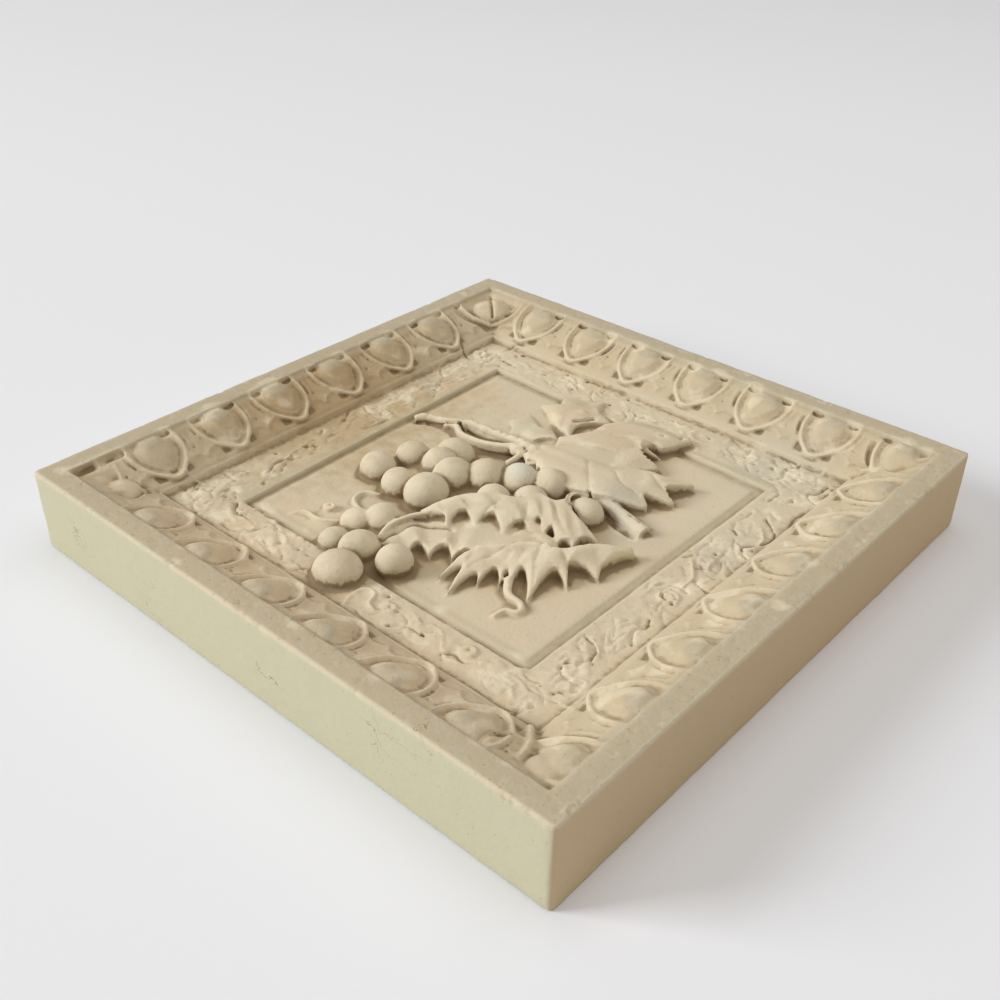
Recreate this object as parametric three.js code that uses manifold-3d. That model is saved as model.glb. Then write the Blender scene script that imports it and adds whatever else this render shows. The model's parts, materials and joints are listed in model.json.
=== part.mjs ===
// Cast stone wall plaque: one square slab with a plain rim, an egg-and-dart moulding that slopes
// inward, a low vine band, and a sunk panel that carries a bunch of grapes with its leaves and a
// piece of the branch. It is one casting, so it is one solid.
//
// Millimetres. The origin is in the middle of the flat back, +Z comes out of the carved face, and
// +Y is the top of the picture as the plaque hangs.
import * as THREE from "three";
import { mergeVertices } from "three/addons/utils/BufferGeometryUtils.js";
import Module from "manifold-3d";

const wasm = await Module();
wasm.setup();

// ---- Driving dimensions ----
const SIDE = 300;
const DEPTH = 40;
const CORNER_RADIUS = 2.5;
const RIM_WIDTH = 11;
const MOULDING_FOOT = 115;
const BED_BREAK = 127;
const BED_BREAK_HEIGHT = 32;
const FILLET_HEIGHT = 28.6;
const BAND_OUTER = 109;
const BAND_INNER = 86;
const PANEL_HALF = 81.5;
const BAND_HEIGHT = 24.6;
const PANEL_HEIGHT = 23.4;
const GROOVE_DEPTH = 1.6;
const ROOT_HEIGHT = 18; // every raised form is sunk in the slab down to here

const EGG_PITCH = 36.5;
const EGGS_PER_SIDE = 6;
const EGG_WIDTH = 21;
const EGG_LENGTH = 20.5;
const EGG_RISE = 4.2;
const EGG_TIP_SHARE = 0.55; // width of the egg's lower end as a share of its full width
const HUSK_HALF_WIDTH = 1.8;
const HUSK_DROP = 2.2; // from the crest of the husk to its two edges
const DART_RISE = 1.9;
const DART_THICKNESS = 8;
const BRIDGE_RISE = 2.6; // the dart's stem over the bed, where it meets the rim
const CORNER_EGG_WIDTH = 24;
const CORNER_EGG_PLACE = -126.5;
const CORNER_EGG_HEIGHT = 32;
// How far the row of eggs sits along its side: the rows were pressed by hand, and none is centred.
const ROW_SHIFTS = [11, -1.5, 6, 8];

const STEM_RADIUS = 1;
const LEAF_RISE = 1.6;
const TENDRIL_HEIGHT = 24.4; // middle line of the thin tendrils that lie on the panel

const RIM_INNER = SIDE / 2 - RIM_WIDTH;

// ---- Helpers ----
const vectors = (points) => points.map((p) => new THREE.Vector3(...p));

// A closed geometry as a solid that can be joined and cut.
function solid(geometry) {
  const bare = geometry.index ? geometry.toNonIndexed() : geometry.clone();
  bare.deleteAttribute("normal");
  bare.deleteAttribute("uv");
  const merged = mergeVertices(bare, 1e-3);
  return new wasm.Manifold(
    new wasm.Mesh({
      numProp: 3,
      vertProperties: merged.attributes.position.array,
      triVerts: new Uint32Array(merged.index.array),
    }),
  );
}

// A round bar of few sides along a smooth curve through the points.
function bar(points, radius, sides, steps) {
  const section = new THREE.Shape();
  for (let i = 0; i < sides; i++) {
    const turn = (2 * Math.PI * i) / sides;
    const corner = [radius * Math.cos(turn), radius * Math.sin(turn)];
    if (i === 0) section.moveTo(...corner);
    else section.lineTo(...corner);
  }
  section.closePath();
  const path = new THREE.CatmullRomCurve3(vectors(points), false, "centripetal");
  return new THREE.ExtrudeGeometry(section, { steps, extrudePath: path, curveSegments: 1 });
}

// A ball squashed to the three radii.
function ball(center, radii, columns, rings) {
  const shape = new THREE.SphereGeometry(1, columns, rings);
  shape.rotateX(Math.PI / 2);
  shape.scale(...radii);
  shape.translate(...center);
  return shape;
}

// A solid whose top is a skin through equal rows of points and whose sides go straight down into
// the slab. The rows run side by side, and each has the same number of points.
function relief(rows) {
  const count = rows[0].length;
  const top = rows.flat();
  const bottom = top.map((p) => new THREE.Vector3(p.x, p.y, ROOT_HEIGHT));
  const all = [...top, ...bottom];
  const under = (i) => i + top.length;
  const faces = [];
  const quad = (a, b, c, d) => faces.push([a, b, c], [a, c, d]);
  for (let r = 0; r + 1 < rows.length; r++) {
    for (let c = 0; c + 1 < count; c++) {
      const a = r * count + c;
      quad(a, a + 1, a + count + 1, a + count);
      quad(under(a + count), under(a + count + 1), under(a + 1), under(a));
    }
  }
  const last = (rows.length - 1) * count;
  const wall = (a, b) => quad(b, a, under(a), under(b));
  for (let c = 0; c + 1 < count; c++) {
    wall(c, c + 1);
    wall(last + c + 1, last + c);
  }
  for (let r = 0; r + 1 < rows.length; r++) {
    wall((r + 1) * count, r * count);
    wall(r * count + count - 1, (r + 1) * count + count - 1);
  }
  const positions = faces.flatMap((face) => face.flatMap((i) => all[i].toArray()));
  return new THREE.BufferGeometry().setAttribute(
    "position",
    new THREE.Float32BufferAttribute(positions, 3),
  );
}

const along = (points, count) =>
  new THREE.CatmullRomCurve3(vectors(points), false, "centripetal").getPoints(count - 1);

// The toothed edge of a leaf: the tips, with a notch between each two of them that is cut back
// towards the spine by a share of the way.
function toothed(tips, spine, notch) {
  const edge = [];
  const backs = along(spine, 2 * tips.length - 1);
  vectors(tips).forEach((tip, i) => {
    if (i > 0) {
      const between = edge[edge.length - 1].clone().lerp(tip, 0.5);
      edge.push(between.lerp(backs[2 * i - 1], notch));
    }
    edge.push(tip);
  });
  return edge;
}

// One fall of a leaf: a skin from a smooth upper edge over a swelling to a toothed lower edge.
function leafFall({ spine, tips, notch, swell }) {
  const lower = toothed(tips, spine, notch);
  const upper = along(spine, lower.length);
  const middle = upper.map((p, i) => {
    const point = p.clone().lerp(lower[i], 0.45);
    point.z += swell;
    return point;
  });
  return relief([lower, middle, upper]);
}

// A leaf lobe with a raised rib: left edge, rib and right edge, each run from root to tip.
function leafLobe({ left, rib, right, columns }) {
  return relief([right, rib, left].map((row) => along(row, columns)));
}

// The bed of the moulding climbs from its foot, and less steeply past the break.
const bedHeight = (distance) =>
  BED_BREAK_HEIGHT + (distance - BED_BREAK) * (distance > BED_BREAK ? 0.28 : 0.44);

// ---- The slab ----
// A lathe with four sides is a square with sloping bands, so the moulding bed, the step, the band
// and the groove round the panel all come from one profile of [half width, height] pairs.
function slab() {
  const profile = [
    [0, 0],
    [SIDE / 2 + CORNER_RADIUS, 0],
    [SIDE / 2 + CORNER_RADIUS, DEPTH],
    [RIM_INNER, DEPTH],
    [RIM_INNER - 0.6, bedHeight(RIM_INNER)],
    [BED_BREAK, bedHeight(BED_BREAK)],
    [MOULDING_FOOT + 1, bedHeight(MOULDING_FOOT + 1)],
    [MOULDING_FOOT - 0.4, FILLET_HEIGHT],
    [MOULDING_FOOT - 2.2, FILLET_HEIGHT],
    [MOULDING_FOOT - 3, FILLET_HEIGHT - 2.4],
    [BAND_OUTER, BAND_HEIGHT],
    [BAND_INNER, BAND_HEIGHT],
    [BAND_INNER - 1, PANEL_HEIGHT - GROOVE_DEPTH],
    [PANEL_HALF, PANEL_HEIGHT],
    [0, PANEL_HEIGHT],
  ];
  const turned = new THREE.LatheGeometry(
    profile.map(([half, height]) => new THREE.Vector2(half * Math.SQRT2, height)),
    4,
  );
  turned.rotateX(Math.PI / 2);
  turned.rotateZ(Math.PI / 4);

  const half = SIDE / 2;
  const outline = new THREE.Shape();
  outline.moveTo(-half + CORNER_RADIUS, -half);
  outline.lineTo(half - CORNER_RADIUS, -half);
  outline.quadraticCurveTo(half, -half, half, -half + CORNER_RADIUS);
  outline.lineTo(half, half - CORNER_RADIUS);
  outline.quadraticCurveTo(half, half, half - CORNER_RADIUS, half);
  outline.lineTo(-half + CORNER_RADIUS, half);
  outline.quadraticCurveTo(-half, half, -half, half - CORNER_RADIUS);
  outline.lineTo(-half, -half + CORNER_RADIUS);
  outline.quadraticCurveTo(-half, -half, -half + CORNER_RADIUS, -half);
  const block = new THREE.ExtrudeGeometry(outline, {
    depth: DEPTH,
    bevelEnabled: false,
    curveSegments: 4,
  });
  return solid(turned).intersect(solid(block));
}

// ---- The egg-and-dart moulding ----
// Shapes are made for the side nearest to -Y, where x runs along the side and y is minus the
// distance from the middle, and are turned on to the other sides.
// An egg: broad under the rim, pointed at the foot of the moulding.
function egg(x, width) {
  const shape = new THREE.SphereGeometry(1, 7, 5);
  shape.rotateX(Math.PI / 2);
  const places = shape.attributes.position;
  const topDistance = RIM_INNER - 1;
  for (let i = 0; i < places.count; i++) {
    const outward = (1 - places.getY(i)) / 2;
    const filled = Math.sin(Math.min(1, outward * 1.4) * (Math.PI / 2));
    const narrowing = EGG_TIP_SHARE + (1 - EGG_TIP_SHARE) * filled;
    const distance = topDistance - EGG_LENGTH * (1 - outward);
    const rise = EGG_RISE + outward;
    places.setXYZ(
      i,
      x + places.getX(i) * (width / 2) * narrowing,
      -distance,
      bedHeight(distance) + places.getZ(i) * rise,
    );
  }
  return shape;
}

// The husk: a ridge from the rim down round the egg to a point and back up, with a sharp crest.
function husk(x, width) {
  const side = [
    [0, MOULDING_FOOT + 0.4, 29],
    [width / 2 - 3, 120, 31],
    [width / 2 + 1.8, 128.5, 34.6],
    [width / 2 + 2.6, RIM_INNER - 0.4, 38],
  ];
  const crest = [...side.slice(1).reverse().map(([a, d, h]) => [-a, d, h]), ...side];
  const offset = (away, drop) =>
    crest.map(([across, distance, height]) => {
      const share = Math.max(0, 1 - (distance - MOULDING_FOOT) / 12);
      const sideways = Math.sign(across) * away * (1 - 0.6 * share);
      return new THREE.Vector3(x + across + sideways, -distance + away * share, height - drop);
    });
  return relief([
    offset(-HUSK_HALF_WIDTH, HUSK_DROP),
    offset(0, 0),
    offset(HUSK_HALF_WIDTH, HUSK_DROP),
  ]);
}

// The dart: a three-pointed star with a notch below, hung between two husks from a stem under
// the rim that bridges them.
function dart(x) {
  const corners = [
    [3.6, RIM_INNER + 0.5],
    [1.2, 128],
    [5.4, 117],
    [0, 120],
    [-5.4, 117],
    [-1.2, 128],
    [-3.6, RIM_INNER + 0.5],
  ];
  const outline = new THREE.Shape(corners.map(([a, d]) => new THREE.Vector2(x + a, -d)));
  const star = new THREE.ExtrudeGeometry(outline, { depth: DART_THICKNESS, bevelEnabled: false });
  const places = star.attributes.position;
  for (let i = 0; i < places.count; i++) {
    const distance = -places.getY(i);
    const top = bedHeight(distance) + (distance > RIM_INNER ? BRIDGE_RISE : DART_RISE);
    places.setZ(i, top - DART_THICKNESS + places.getZ(i));
  }
  return star;
}

function moulding() {
  const parts = [];
  ROW_SHIFTS.forEach((shift, side) => {
    const turn = new THREE.Matrix4().makeRotationZ((side * Math.PI) / 2);
    const add = (geometry) => parts.push(solid(geometry.applyMatrix4(turn)));
    for (let i = 0; i < EGGS_PER_SIDE; i++) {
      const x = shift + (i - (EGGS_PER_SIDE - 1) / 2) * EGG_PITCH;
      add(egg(x, EGG_WIDTH));
      add(husk(x, EGG_WIDTH));
      if (i + 1 < EGGS_PER_SIDE) {
        add(dart(x + EGG_PITCH / 2));
      }
    }
    // the larger egg on the diagonal at the start of the side
    const place = [CORNER_EGG_PLACE, CORNER_EGG_PLACE, CORNER_EGG_HEIGHT];
    add(ball(place, [CORNER_EGG_WIDTH / 2, 11, 4.8], 8, 5));
  });
  return parts;
}

// ---- The vine band ----
// A low stem waves along each side of the band, with leaves and rosettes laid over it.
function stem(side) {
  const points = [];
  const middle = (BAND_OUTER + BAND_INNER) / 2;
  for (let x = -96; x <= 96; x += 16) {
    points.push([x, -middle + 5 * Math.sin(x / 13 + side), BAND_HEIGHT + 0.2]);
  }
  return bar(points, STEM_RADIUS, 3, 10);
}

// A low vine leaf of five lobes: a star whose middle is raised and whose rim sinks in the band.
function bandLeaf([x, y, size, turn]) {
  const lobes = 5;
  const rim = [];
  for (let i = 0; i < 2 * lobes; i++) {
    const reach = size * (i % 2 === 0 ? 1.1 : 0.68);
    const angle = turn + (Math.PI * i) / lobes;
    rim.push([x + reach * Math.cos(angle), y + reach * Math.sin(angle), BAND_HEIGHT - 0.3]);
  }
  const positions = [];
  rim.forEach((a, i) => {
    const b = rim[(i + 1) % rim.length];
    positions.push(x, y, BAND_HEIGHT + LEAF_RISE, ...a, ...b);
    positions.push(x, y, ROOT_HEIGHT, ...b, ...a);
  });
  return new THREE.BufferGeometry().setAttribute(
    "position",
    new THREE.Float32BufferAttribute(positions, 3),
  );
}

const rosette = ([x, y, size]) => ball([x, y, BAND_HEIGHT - 0.5], [size, size, 2.4], 6, 4);

function vineBand() {
  const leaves = [
    [-90, -99, 9, 0.3],
    [-62, -97, 8, 1.2],
    [-34, -99, 7, 0.2],
    [48, -99, 8, 0.4],
    [84, -99, 9, 1.1],
    [98, -62, 8, 0.6],
    [99, -30, 7, 1.5],
    [98, 44, 9, 0.8],
    [97, 84, 8, 1.3],
    [66, 98, 8, 0.5],
    [-68, 99, 8, 1],
    [-98, 66, 8, 0.2],
    [-98, 22, 8, 1.4],
    [-98, -26, 8, 0.7],
  ];
  const rosettes = [
    [22, -96, 3.4],
    [63, -95, 3.6],
    [99, -8, 5],
    [97, 12, 3.4],
    [-107, 91, 3.6],
    [-50, -65, 3.2],
  ];
  const stems = [0, 1, 2, 3].map((side) =>
    solid(stem(side).applyMatrix4(new THREE.Matrix4().makeRotationZ((side * Math.PI) / 2))),
  );
  return [
    ...stems,
    ...leaves.map((leaf) => solid(bandLeaf(leaf))),
    ...rosettes.map((flower) => solid(rosette(flower))),
  ];
}

// ---- The bunch ----
// Each grape is [x, y, height of its middle, radius].
function grapes() {
  const bunch = [
    [-57, -29, 25.5, 8.2],
    [-51, -12, 26.5, 7.7],
    [-37, 2, 26, 9.1],
    [-39, -33, 26.5, 7.7],
    [-35, -10, 28, 8.1],
    [-22, -15, 29, 9.1],
    [-22, -32, 28.5, 9.3],
    [-11, -5, 28.5, 8.9],
    [2, 4, 28, 8.5],
    [14, 11, 27.5, 8.1],
    [4, -16, 28, 7.9],
    [17, -6, 28, 7.9],
    [-30, -67, 26, 6.9],
    [-22, -59, 27, 7.9],
    [-29, -81, 24, 6.5],
    [-14, -80, 27, 8.3],
    [4, -77, 28, 7.3],
    [-10, -96, 25.5, 9.7],
  ];
  return bunch.map(([x, y, height, radius]) =>
    solid(ball([x, y, height], [radius, radius, radius], 9, 6)),
  );
}

// ---- The leaves of the panel ----
// The lower leaf hangs over the bunch in three toothed falls.
function lowerLeaf() {
  const topFall = {
    spine: [
      [-7, -48, 31],
      [-7, -34, 34],
      [4, -23, 35.5],
      [20, -13, 35],
      [30, -2, 35],
      [33, 12, 32],
    ],
    tips: [
      [-3, -46, 30],
      [5, -47, 29],
      [7, -35, 30],
      [14, -37, 29.5],
      [28, -34, 29.5],
      [34, -25, 30],
      [40, -21, 30],
      [48, -20, 28],
      [58, -8, 26],
    ],
    notch: 0.45,
    swell: 1,
  };
  const middleFall = {
    spine: [
      [-12, -76, 30],
      [-12, -66, 33],
      [-10, -57, 34],
      [-2, -47, 34],
      [16, -36, 32],
      [32, -33, 31],
    ],
    tips: [[-9, -75, 29], [-1, -66, 28], [10, -64, 26], [19, -58, 26], [30, -46, 28]],
    notch: 0.4,
    swell: 1,
  };
  const lowerFall = {
    spine: [
      [21, -55, 30],
      [26, -44, 32],
      [34, -34, 32],
      [44, -25, 32.5],
      [58, -16, 31],
      [72, -2, 29.5],
    ],
    tips: [
      [25, -70, 27],
      [34, -75, 26],
      [37, -61, 27],
      [43, -56, 27],
      [47, -52, 27],
      [59, -55, 25.5],
      [66, -39, 26],
      [72, -28, 26.5],
      [74, -6, 28],
    ],
    notch: 0.4,
    swell: 1.4,
  };
  return [topFall, middleFall, lowerFall].map((fall) => solid(leafFall(fall)));
}

// The right leaf has two long lobes that leave the knot of the branch.
function rightLeaf() {
  const upperLobe = {
    left: [[-12, 40, 29], [-6, 60, 28], [-1, 79, 27], [8, 90, 27], [22, 92, 27], [38, 91, 27]],
    rib: [[-8, 36, 31], [0, 50, 31.5], [9, 61, 31.5], [19, 69, 31.5], [26, 80, 31], [38, 89, 28]],
    right: [
      [0, 30, 31],
      [27, 41, 29],
      [31, 53, 29],
      [38, 58, 27],
      [28, 63, 29],
      [35, 70, 28],
      [28, 72, 29],
      [39, 87, 27],
    ],
    columns: 14,
  };
  const lowerLobe = {
    left: [[-8, 32, 32], [12, 42, 30], [27, 43, 29], [44, 50, 28], [54, 54, 27], [62, 58, 26.5]],
    rib: [[-4, 26, 33], [18, 31, 34], [33, 33, 34], [45, 43, 33], [54, 48, 31], [63, 57, 27]],
    right: [
      [2, 18, 32],
      [20, 10, 31],
      [36, 15, 31],
      [45, 25, 29],
      [55, 28, 26.5],
      [52, 35, 29],
      [63, 40, 26.5],
      [56, 45, 28],
      [64, 56, 26],
    ],
    columns: 18,
  };
  return [upperLobe, lowerLobe].map((lobe) => solid(leafLobe(lobe)));
}

// The small leaves above the branch, the first laid over the groove at the top of the panel.
function upperLeaves() {
  const topLeaf = {
    left: [[-30, 60, 25], [-40, 70, 26], [-43, 80, 26], [-34, 90, 26], [-24, 97, 26]],
    rib: [[-22, 56, 27], [-25, 68, 30], [-26, 78, 30], [-20, 86, 29], [-14, 94, 27]],
    right: [[-14, 54, 25], [-9, 62, 27], [-10, 71, 28], [-5, 80, 26], [-6, 90, 26]],
    columns: 9,
  };
  const sprig = {
    left: [[-22, 34, 26], [-30, 37, 26.5], [-38, 42, 26], [-44, 47, 25]],
    rib: [[-22, 38, 27], [-30, 44, 28], [-36, 48, 27.5], [-46, 50, 25.5]],
    right: [[-24, 40, 26], [-34, 50, 26], [-38, 57, 25.5], [-48, 53, 25]],
    columns: 7,
  };
  return [topLeaf, sprig].map((leaf) => solid(leafLobe(leaf)));
}

// ---- The branch and the tendrils ----
function branch() {
  const upperStrand = [
    [-79, 19, 24],
    [-72, 20, 25],
    [-59, 27, 26],
    [-42, 30, 26],
    [-14, 27, 29],
  ];
  const lowerStrand = [
    [-62, 23, 25],
    [-49, 19, 26.5],
    [-36, 19, 27],
    [-24, 24, 28],
    [-12, 26, 30],
  ];
  const stub = [
    [26, 20, 28],
    [40, 18, 27.5],
    [67, 14, 26.5],
  ];
  const lowTendril = [
    [42, -50, 26],
    [45, -56, 25.5],
    [53, -60, 25],
    [60, -62, 25],
    [54, -70, 24.2],
  ];
  const bars = [
    { points: upperStrand, radius: 3, sides: 5 },
    { points: lowerStrand, radius: 2, sides: 4 },
    { points: stub, radius: 4.2, sides: 7 },
    { points: lowTendril, radius: 1.5, sides: 4 },
  ];
  // two thin tendrils that lie on the panel, one on each side of the rosette
  const thin = [
    [[-60, -82], [-57, -75], [-47, -75], [-41, -71], [-36, -66]],
    [[-36, -58], [-44, -56], [-48, -51], [-46, -44], [-38, -41]],
  ];
  for (const route of thin) {
    bars.push({ radius: 1.1, sides: 3, points: route.map(([x, y]) => [x, y, TENDRIL_HEIGHT]) });
  }
  return [
    ...bars.map(({ points, radius, sides }) => solid(bar(points, radius, sides, 7))),
    // the knot and the bud
    solid(ball([-9, 25, 29], [6, 5.5, 5], 7, 4)),
    solid(ball([39, 8, 26], [8.5, 7, 6.5], 8, 5)),
  ];
}

// ---- The casting ----
const reliefParts = [
  ...moulding(),
  ...vineBand(),
  ...grapes(),
  ...lowerLeaf(),
  ...rightLeaf(),
  ...upperLeaves(),
  ...branch(),
];
let casting = slab();
for (const part of reliefParts) casting = casting.add(part);

const mesh = casting.getMesh();
const geometry = new THREE.BufferGeometry()
  .setAttribute("position", new THREE.Float32BufferAttribute(mesh.vertProperties, mesh.numProp))
  .setIndex(new THREE.BufferAttribute(mesh.triVerts, 1));
geometry.computeVertexNormals();

const stone = new THREE.MeshStandardMaterial({ color: 0xcdbd9a, roughness: 0.85, metalness: 0 });
const plaque = new THREE.Mesh(geometry, stone);
plaque.name = "plaque";

const root = new THREE.Group();
root.add(plaque);

export default root;
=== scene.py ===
# %% [markdown]
# # A cast stone wall plaque
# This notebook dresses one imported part: a square plaque with an egg-and-dart moulding, a low vine
# band and a bunch of grapes under vine leaves. The real plaque is one casting. Its mould was taken
# from a modelled original, so every form on it is soft at the edges and grows out of the slab.
#
# It is made here the way a modeller makes the original. Each form is built on its own with
# ordinary mesh tools, all are pressed together, and one voxel remesh turns them into a single skin
# with soft joins. Fine lines are then pressed into that skin, and last comes the stone finish.

# %% Load the frame
import json
import math
import random

import bmesh
import bpy
import numpy as np
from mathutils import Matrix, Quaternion, Vector

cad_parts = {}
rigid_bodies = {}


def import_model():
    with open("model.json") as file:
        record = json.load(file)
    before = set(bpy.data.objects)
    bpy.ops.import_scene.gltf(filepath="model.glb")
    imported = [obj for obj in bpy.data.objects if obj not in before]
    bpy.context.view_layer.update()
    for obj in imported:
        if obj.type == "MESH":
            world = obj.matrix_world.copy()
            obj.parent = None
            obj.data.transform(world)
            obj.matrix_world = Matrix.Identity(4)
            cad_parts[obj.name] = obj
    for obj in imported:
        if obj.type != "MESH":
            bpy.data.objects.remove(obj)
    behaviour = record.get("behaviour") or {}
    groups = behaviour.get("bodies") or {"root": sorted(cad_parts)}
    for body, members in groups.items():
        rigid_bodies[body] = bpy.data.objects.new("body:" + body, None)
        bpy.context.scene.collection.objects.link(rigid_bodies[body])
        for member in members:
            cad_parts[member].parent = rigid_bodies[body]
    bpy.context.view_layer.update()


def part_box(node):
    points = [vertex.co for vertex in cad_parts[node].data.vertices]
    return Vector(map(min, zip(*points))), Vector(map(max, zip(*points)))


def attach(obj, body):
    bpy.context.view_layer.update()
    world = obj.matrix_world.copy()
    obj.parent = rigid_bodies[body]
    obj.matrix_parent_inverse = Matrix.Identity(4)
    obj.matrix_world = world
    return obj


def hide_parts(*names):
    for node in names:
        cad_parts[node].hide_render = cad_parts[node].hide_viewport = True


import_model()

low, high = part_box("plaque")
MM = 0.001
SIDE = (high.x - low.x) / MM
DEPTH = round((high.z - low.z) / MM, 3)
random.seed(11)
print("plaque", round(SIDE), "mm square, reaching", round(high.z / MM, 1), "mm")

# %% [markdown]
# ## The bench
# The forms are modelled in millimetres on a bench and scaled to metres once, at the end, so the
# numbers below are those that a maker would measure. An operator works on all that is selected.
# So two small helpers come first: one selects whole objects, and one selects faces, edges or
# points of the object in edit mode by a test of their place.

# %% Helpers for selecting
def only(*things):
    """Selects these objects and no others."""
    bpy.ops.object.select_all(action="DESELECT")
    for thing in things:
        thing.select_set(True)
    bpy.context.view_layer.objects.active = things[0]


def edit(thing, kind="VERT"):
    """Opens one object in edit mode with nothing selected."""
    only(thing)
    bpy.ops.object.mode_set(mode="EDIT")
    bpy.ops.mesh.select_mode(type=kind)
    bpy.ops.mesh.select_all(action="DESELECT")


def done():
    """Leaves edit mode and gives the object."""
    bpy.ops.object.mode_set(mode="OBJECT")
    return bpy.context.object


def pick(test, kind="verts"):
    """In edit mode, selects what passes the test and nothing else."""
    mesh = bpy.context.object.data
    bm = bmesh.from_edit_mesh(mesh)
    for face in bm.faces:
        face.select = False
    for edge in bm.edges:
        edge.select = False
    for vert in bm.verts:
        vert.select = False
    chosen = [part for part in getattr(bm, kind) if test(part)]
    for part in chosen:
        part.select = True
    bm.select_flush_mode()
    bmesh.update_edit_mesh(mesh)
    return len(chosen)


def middle(part):
    """The middle of an edge or face."""
    if isinstance(part, bmesh.types.BMFace):
        return part.calc_center_median()
    return (part.verts[0].co + part.verts[1].co) / 2


def freeze(thing):
    """Moves an object's place, turn and size into its mesh."""
    only(thing)
    bpy.ops.object.transform_apply(location=True, rotation=True, scale=True)
    return thing


def join(things, name):
    """Joins objects into one, under a name."""
    only(*things)
    if len(things) > 1:
        bpy.ops.object.join()
    bpy.context.object.name = name
    return bpy.context.object


# %% [markdown]
# ## The slab
# The blank of the plaque is a square slab with a stepped top: a flat rim, a sloping bed for the
# moulding, a small fillet, a level band, a groove and the panel. A lathe or a stack of boxes could
# give these steps, but insetting the top face again and again is how it is done by hand, and each
# inset takes its width and its rise straight from the section of the real moulding.

# %% Cut the steps of the slab
RIM_INNER = 139.0
MOULDING_FOOT = 115.0
BAND_OUTER = 109.5
BAND_INNER = 86.4
BAND_HEIGHT = 24.6
PANEL_HEIGHT = 23.4
SECTION = [
    # distance from the middle, height
    # the rim and its worn inner edge
    (SIDE / 2, DEPTH), (RIM_INNER, DEPTH), (RIM_INNER - 0.6, 38.6),
    # the sloping bed of the moulding
    (134.0, 36.4), (127.0, 32.8), (MOULDING_FOOT + 1.2, 28.3),
    # the fillet, and the cove with its two fine lines
    (MOULDING_FOOT, 28.5), (113.9, 28.4), (113.1, 27.4), (112.5, 27.2), (111.7, 27.4), (110.9, 26.0),
    # the band, the groove and the panel
    (BAND_OUTER, BAND_HEIGHT), (BAND_INNER, BAND_HEIGHT), (85.4, 22.5), (82.4, 22.7),
    (81.2, PANEL_HEIGHT),
]


def make_slab():
    """The stepped slab, with a worn outer edge."""
    bpy.ops.mesh.primitive_cube_add(size=1, location=(0, 0, DEPTH / 2), scale=(SIDE, SIDE, DEPTH))
    slab = freeze(bpy.context.object)
    slab.name = "slab"
    edit(slab, "FACE")
    pick(lambda face: face.normal.z > 0.9, "faces")
    for (outer, height), (inner, next_height) in zip(SECTION, SECTION[1:]):
        bpy.ops.mesh.inset(thickness=outer - inner, depth=next_height - height)
    # the panel was cut by eye, so its groove isn't quite square: each corner is pulled to its place
    pulls = {
        (-1, 1): (0.6, 0.4),
        (1, 1): (0, -4.6),
        (-1, -1): (4.6, -2.4),
        (1, -1): (0, -2.4),
    }
    for (side_x, side_y), (dx, dy) in pulls.items():
        pick(
            lambda v: v.co.x * side_x > 1
            and v.co.y * side_y > 1
            and max(abs(v.co.x), abs(v.co.y)) < BAND_INNER + 0.5
        )
        bpy.ops.transform.translate(value=(dx, dy, 0))
    # the outer edges are worn round
    bpy.ops.mesh.select_mode(type="EDGE")
    pick(
        lambda e: abs(abs(middle(e).x) - SIDE / 2) < 0.1 and abs(abs(middle(e).y) - SIDE / 2) < 0.1,
        "edges",
    )
    bpy.ops.mesh.bevel(offset=2.4, segments=4, affect="EDGES")
    return done()


slab = make_slab()
print("slab:", len(slab.data.polygons), "faces")

# %% [markdown]
# ## Drawing lines
# Much of the carving is drawn: outlines of leaves, ridges, stems and cuts. A line is drawn as by
# hand, by putting down one point and extruding it from place to place. A ridge or stem is such a
# line turned into a curve, given a round section, and turned back into a mesh.

# %% Draw lines and round rods
def draw(routes, name="line", closed=False):
    """Extrudes one point along each route, and gives an object of plain edges or filled outlines."""
    bpy.ops.object.select_all(action="DESELECT")
    for number, route in enumerate(routes):
        bpy.ops.mesh.primitive_plane_add(size=1, location=(0, 0, 0))
        if number == 0:
            bpy.ops.object.mode_set(mode="EDIT")
            bpy.ops.mesh.select_mode(type="VERT")
            bpy.ops.mesh.select_all(action="SELECT")
        bpy.ops.mesh.merge(type="CENTER")
        bpy.ops.transform.translate(value=route[0])
        for a, b in zip(route, route[1:]):
            step = Vector(b) - Vector(a)
            bpy.ops.mesh.extrude_vertices_move(TRANSFORM_OT_translate={"value": step})
        if closed:
            bpy.ops.mesh.select_linked()
            bpy.ops.mesh.edge_face_add()
        bpy.ops.mesh.select_all(action="DESELECT")
    line = done()
    line.name = name
    return line


def smooth_line(line, steps=6):
    """Turns plain edges into curves that pass smoothly through their points."""
    only(line)
    bpy.ops.object.convert(target="CURVE")
    curve = bpy.context.object
    bpy.ops.object.mode_set(mode="EDIT")
    bpy.ops.curve.select_all(action="SELECT")
    bpy.ops.curve.spline_type_set(type="BEZIER")
    bpy.ops.curve.handle_type_set(type="AUTOMATIC")
    bpy.ops.object.mode_set(mode="OBJECT")
    curve.data.resolution_u = steps
    return curve


def rod(routes, radius, taper=(1.0, 1.0), steps=5, name="rod"):
    """Round rods through the points, whose ends are a share of the radius thick."""
    curve = smooth_line(draw(routes, name), steps)
    for spline in curve.data.splines:
        last = max(1, len(spline.bezier_points) - 1)
        for i, point in enumerate(spline.bezier_points):
            share = i / last
            end = taper[0] if share < 0.5 else taper[1]
            point.radius = end + (1 - end) * (1 - abs(2 * share - 1)) ** 0.6
    curve.data.bevel_depth = radius
    curve.data.bevel_resolution = 2
    curve.data.use_fill_caps = True
    only(curve)
    bpy.ops.object.convert(target="MESH")
    return bpy.context.object


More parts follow.
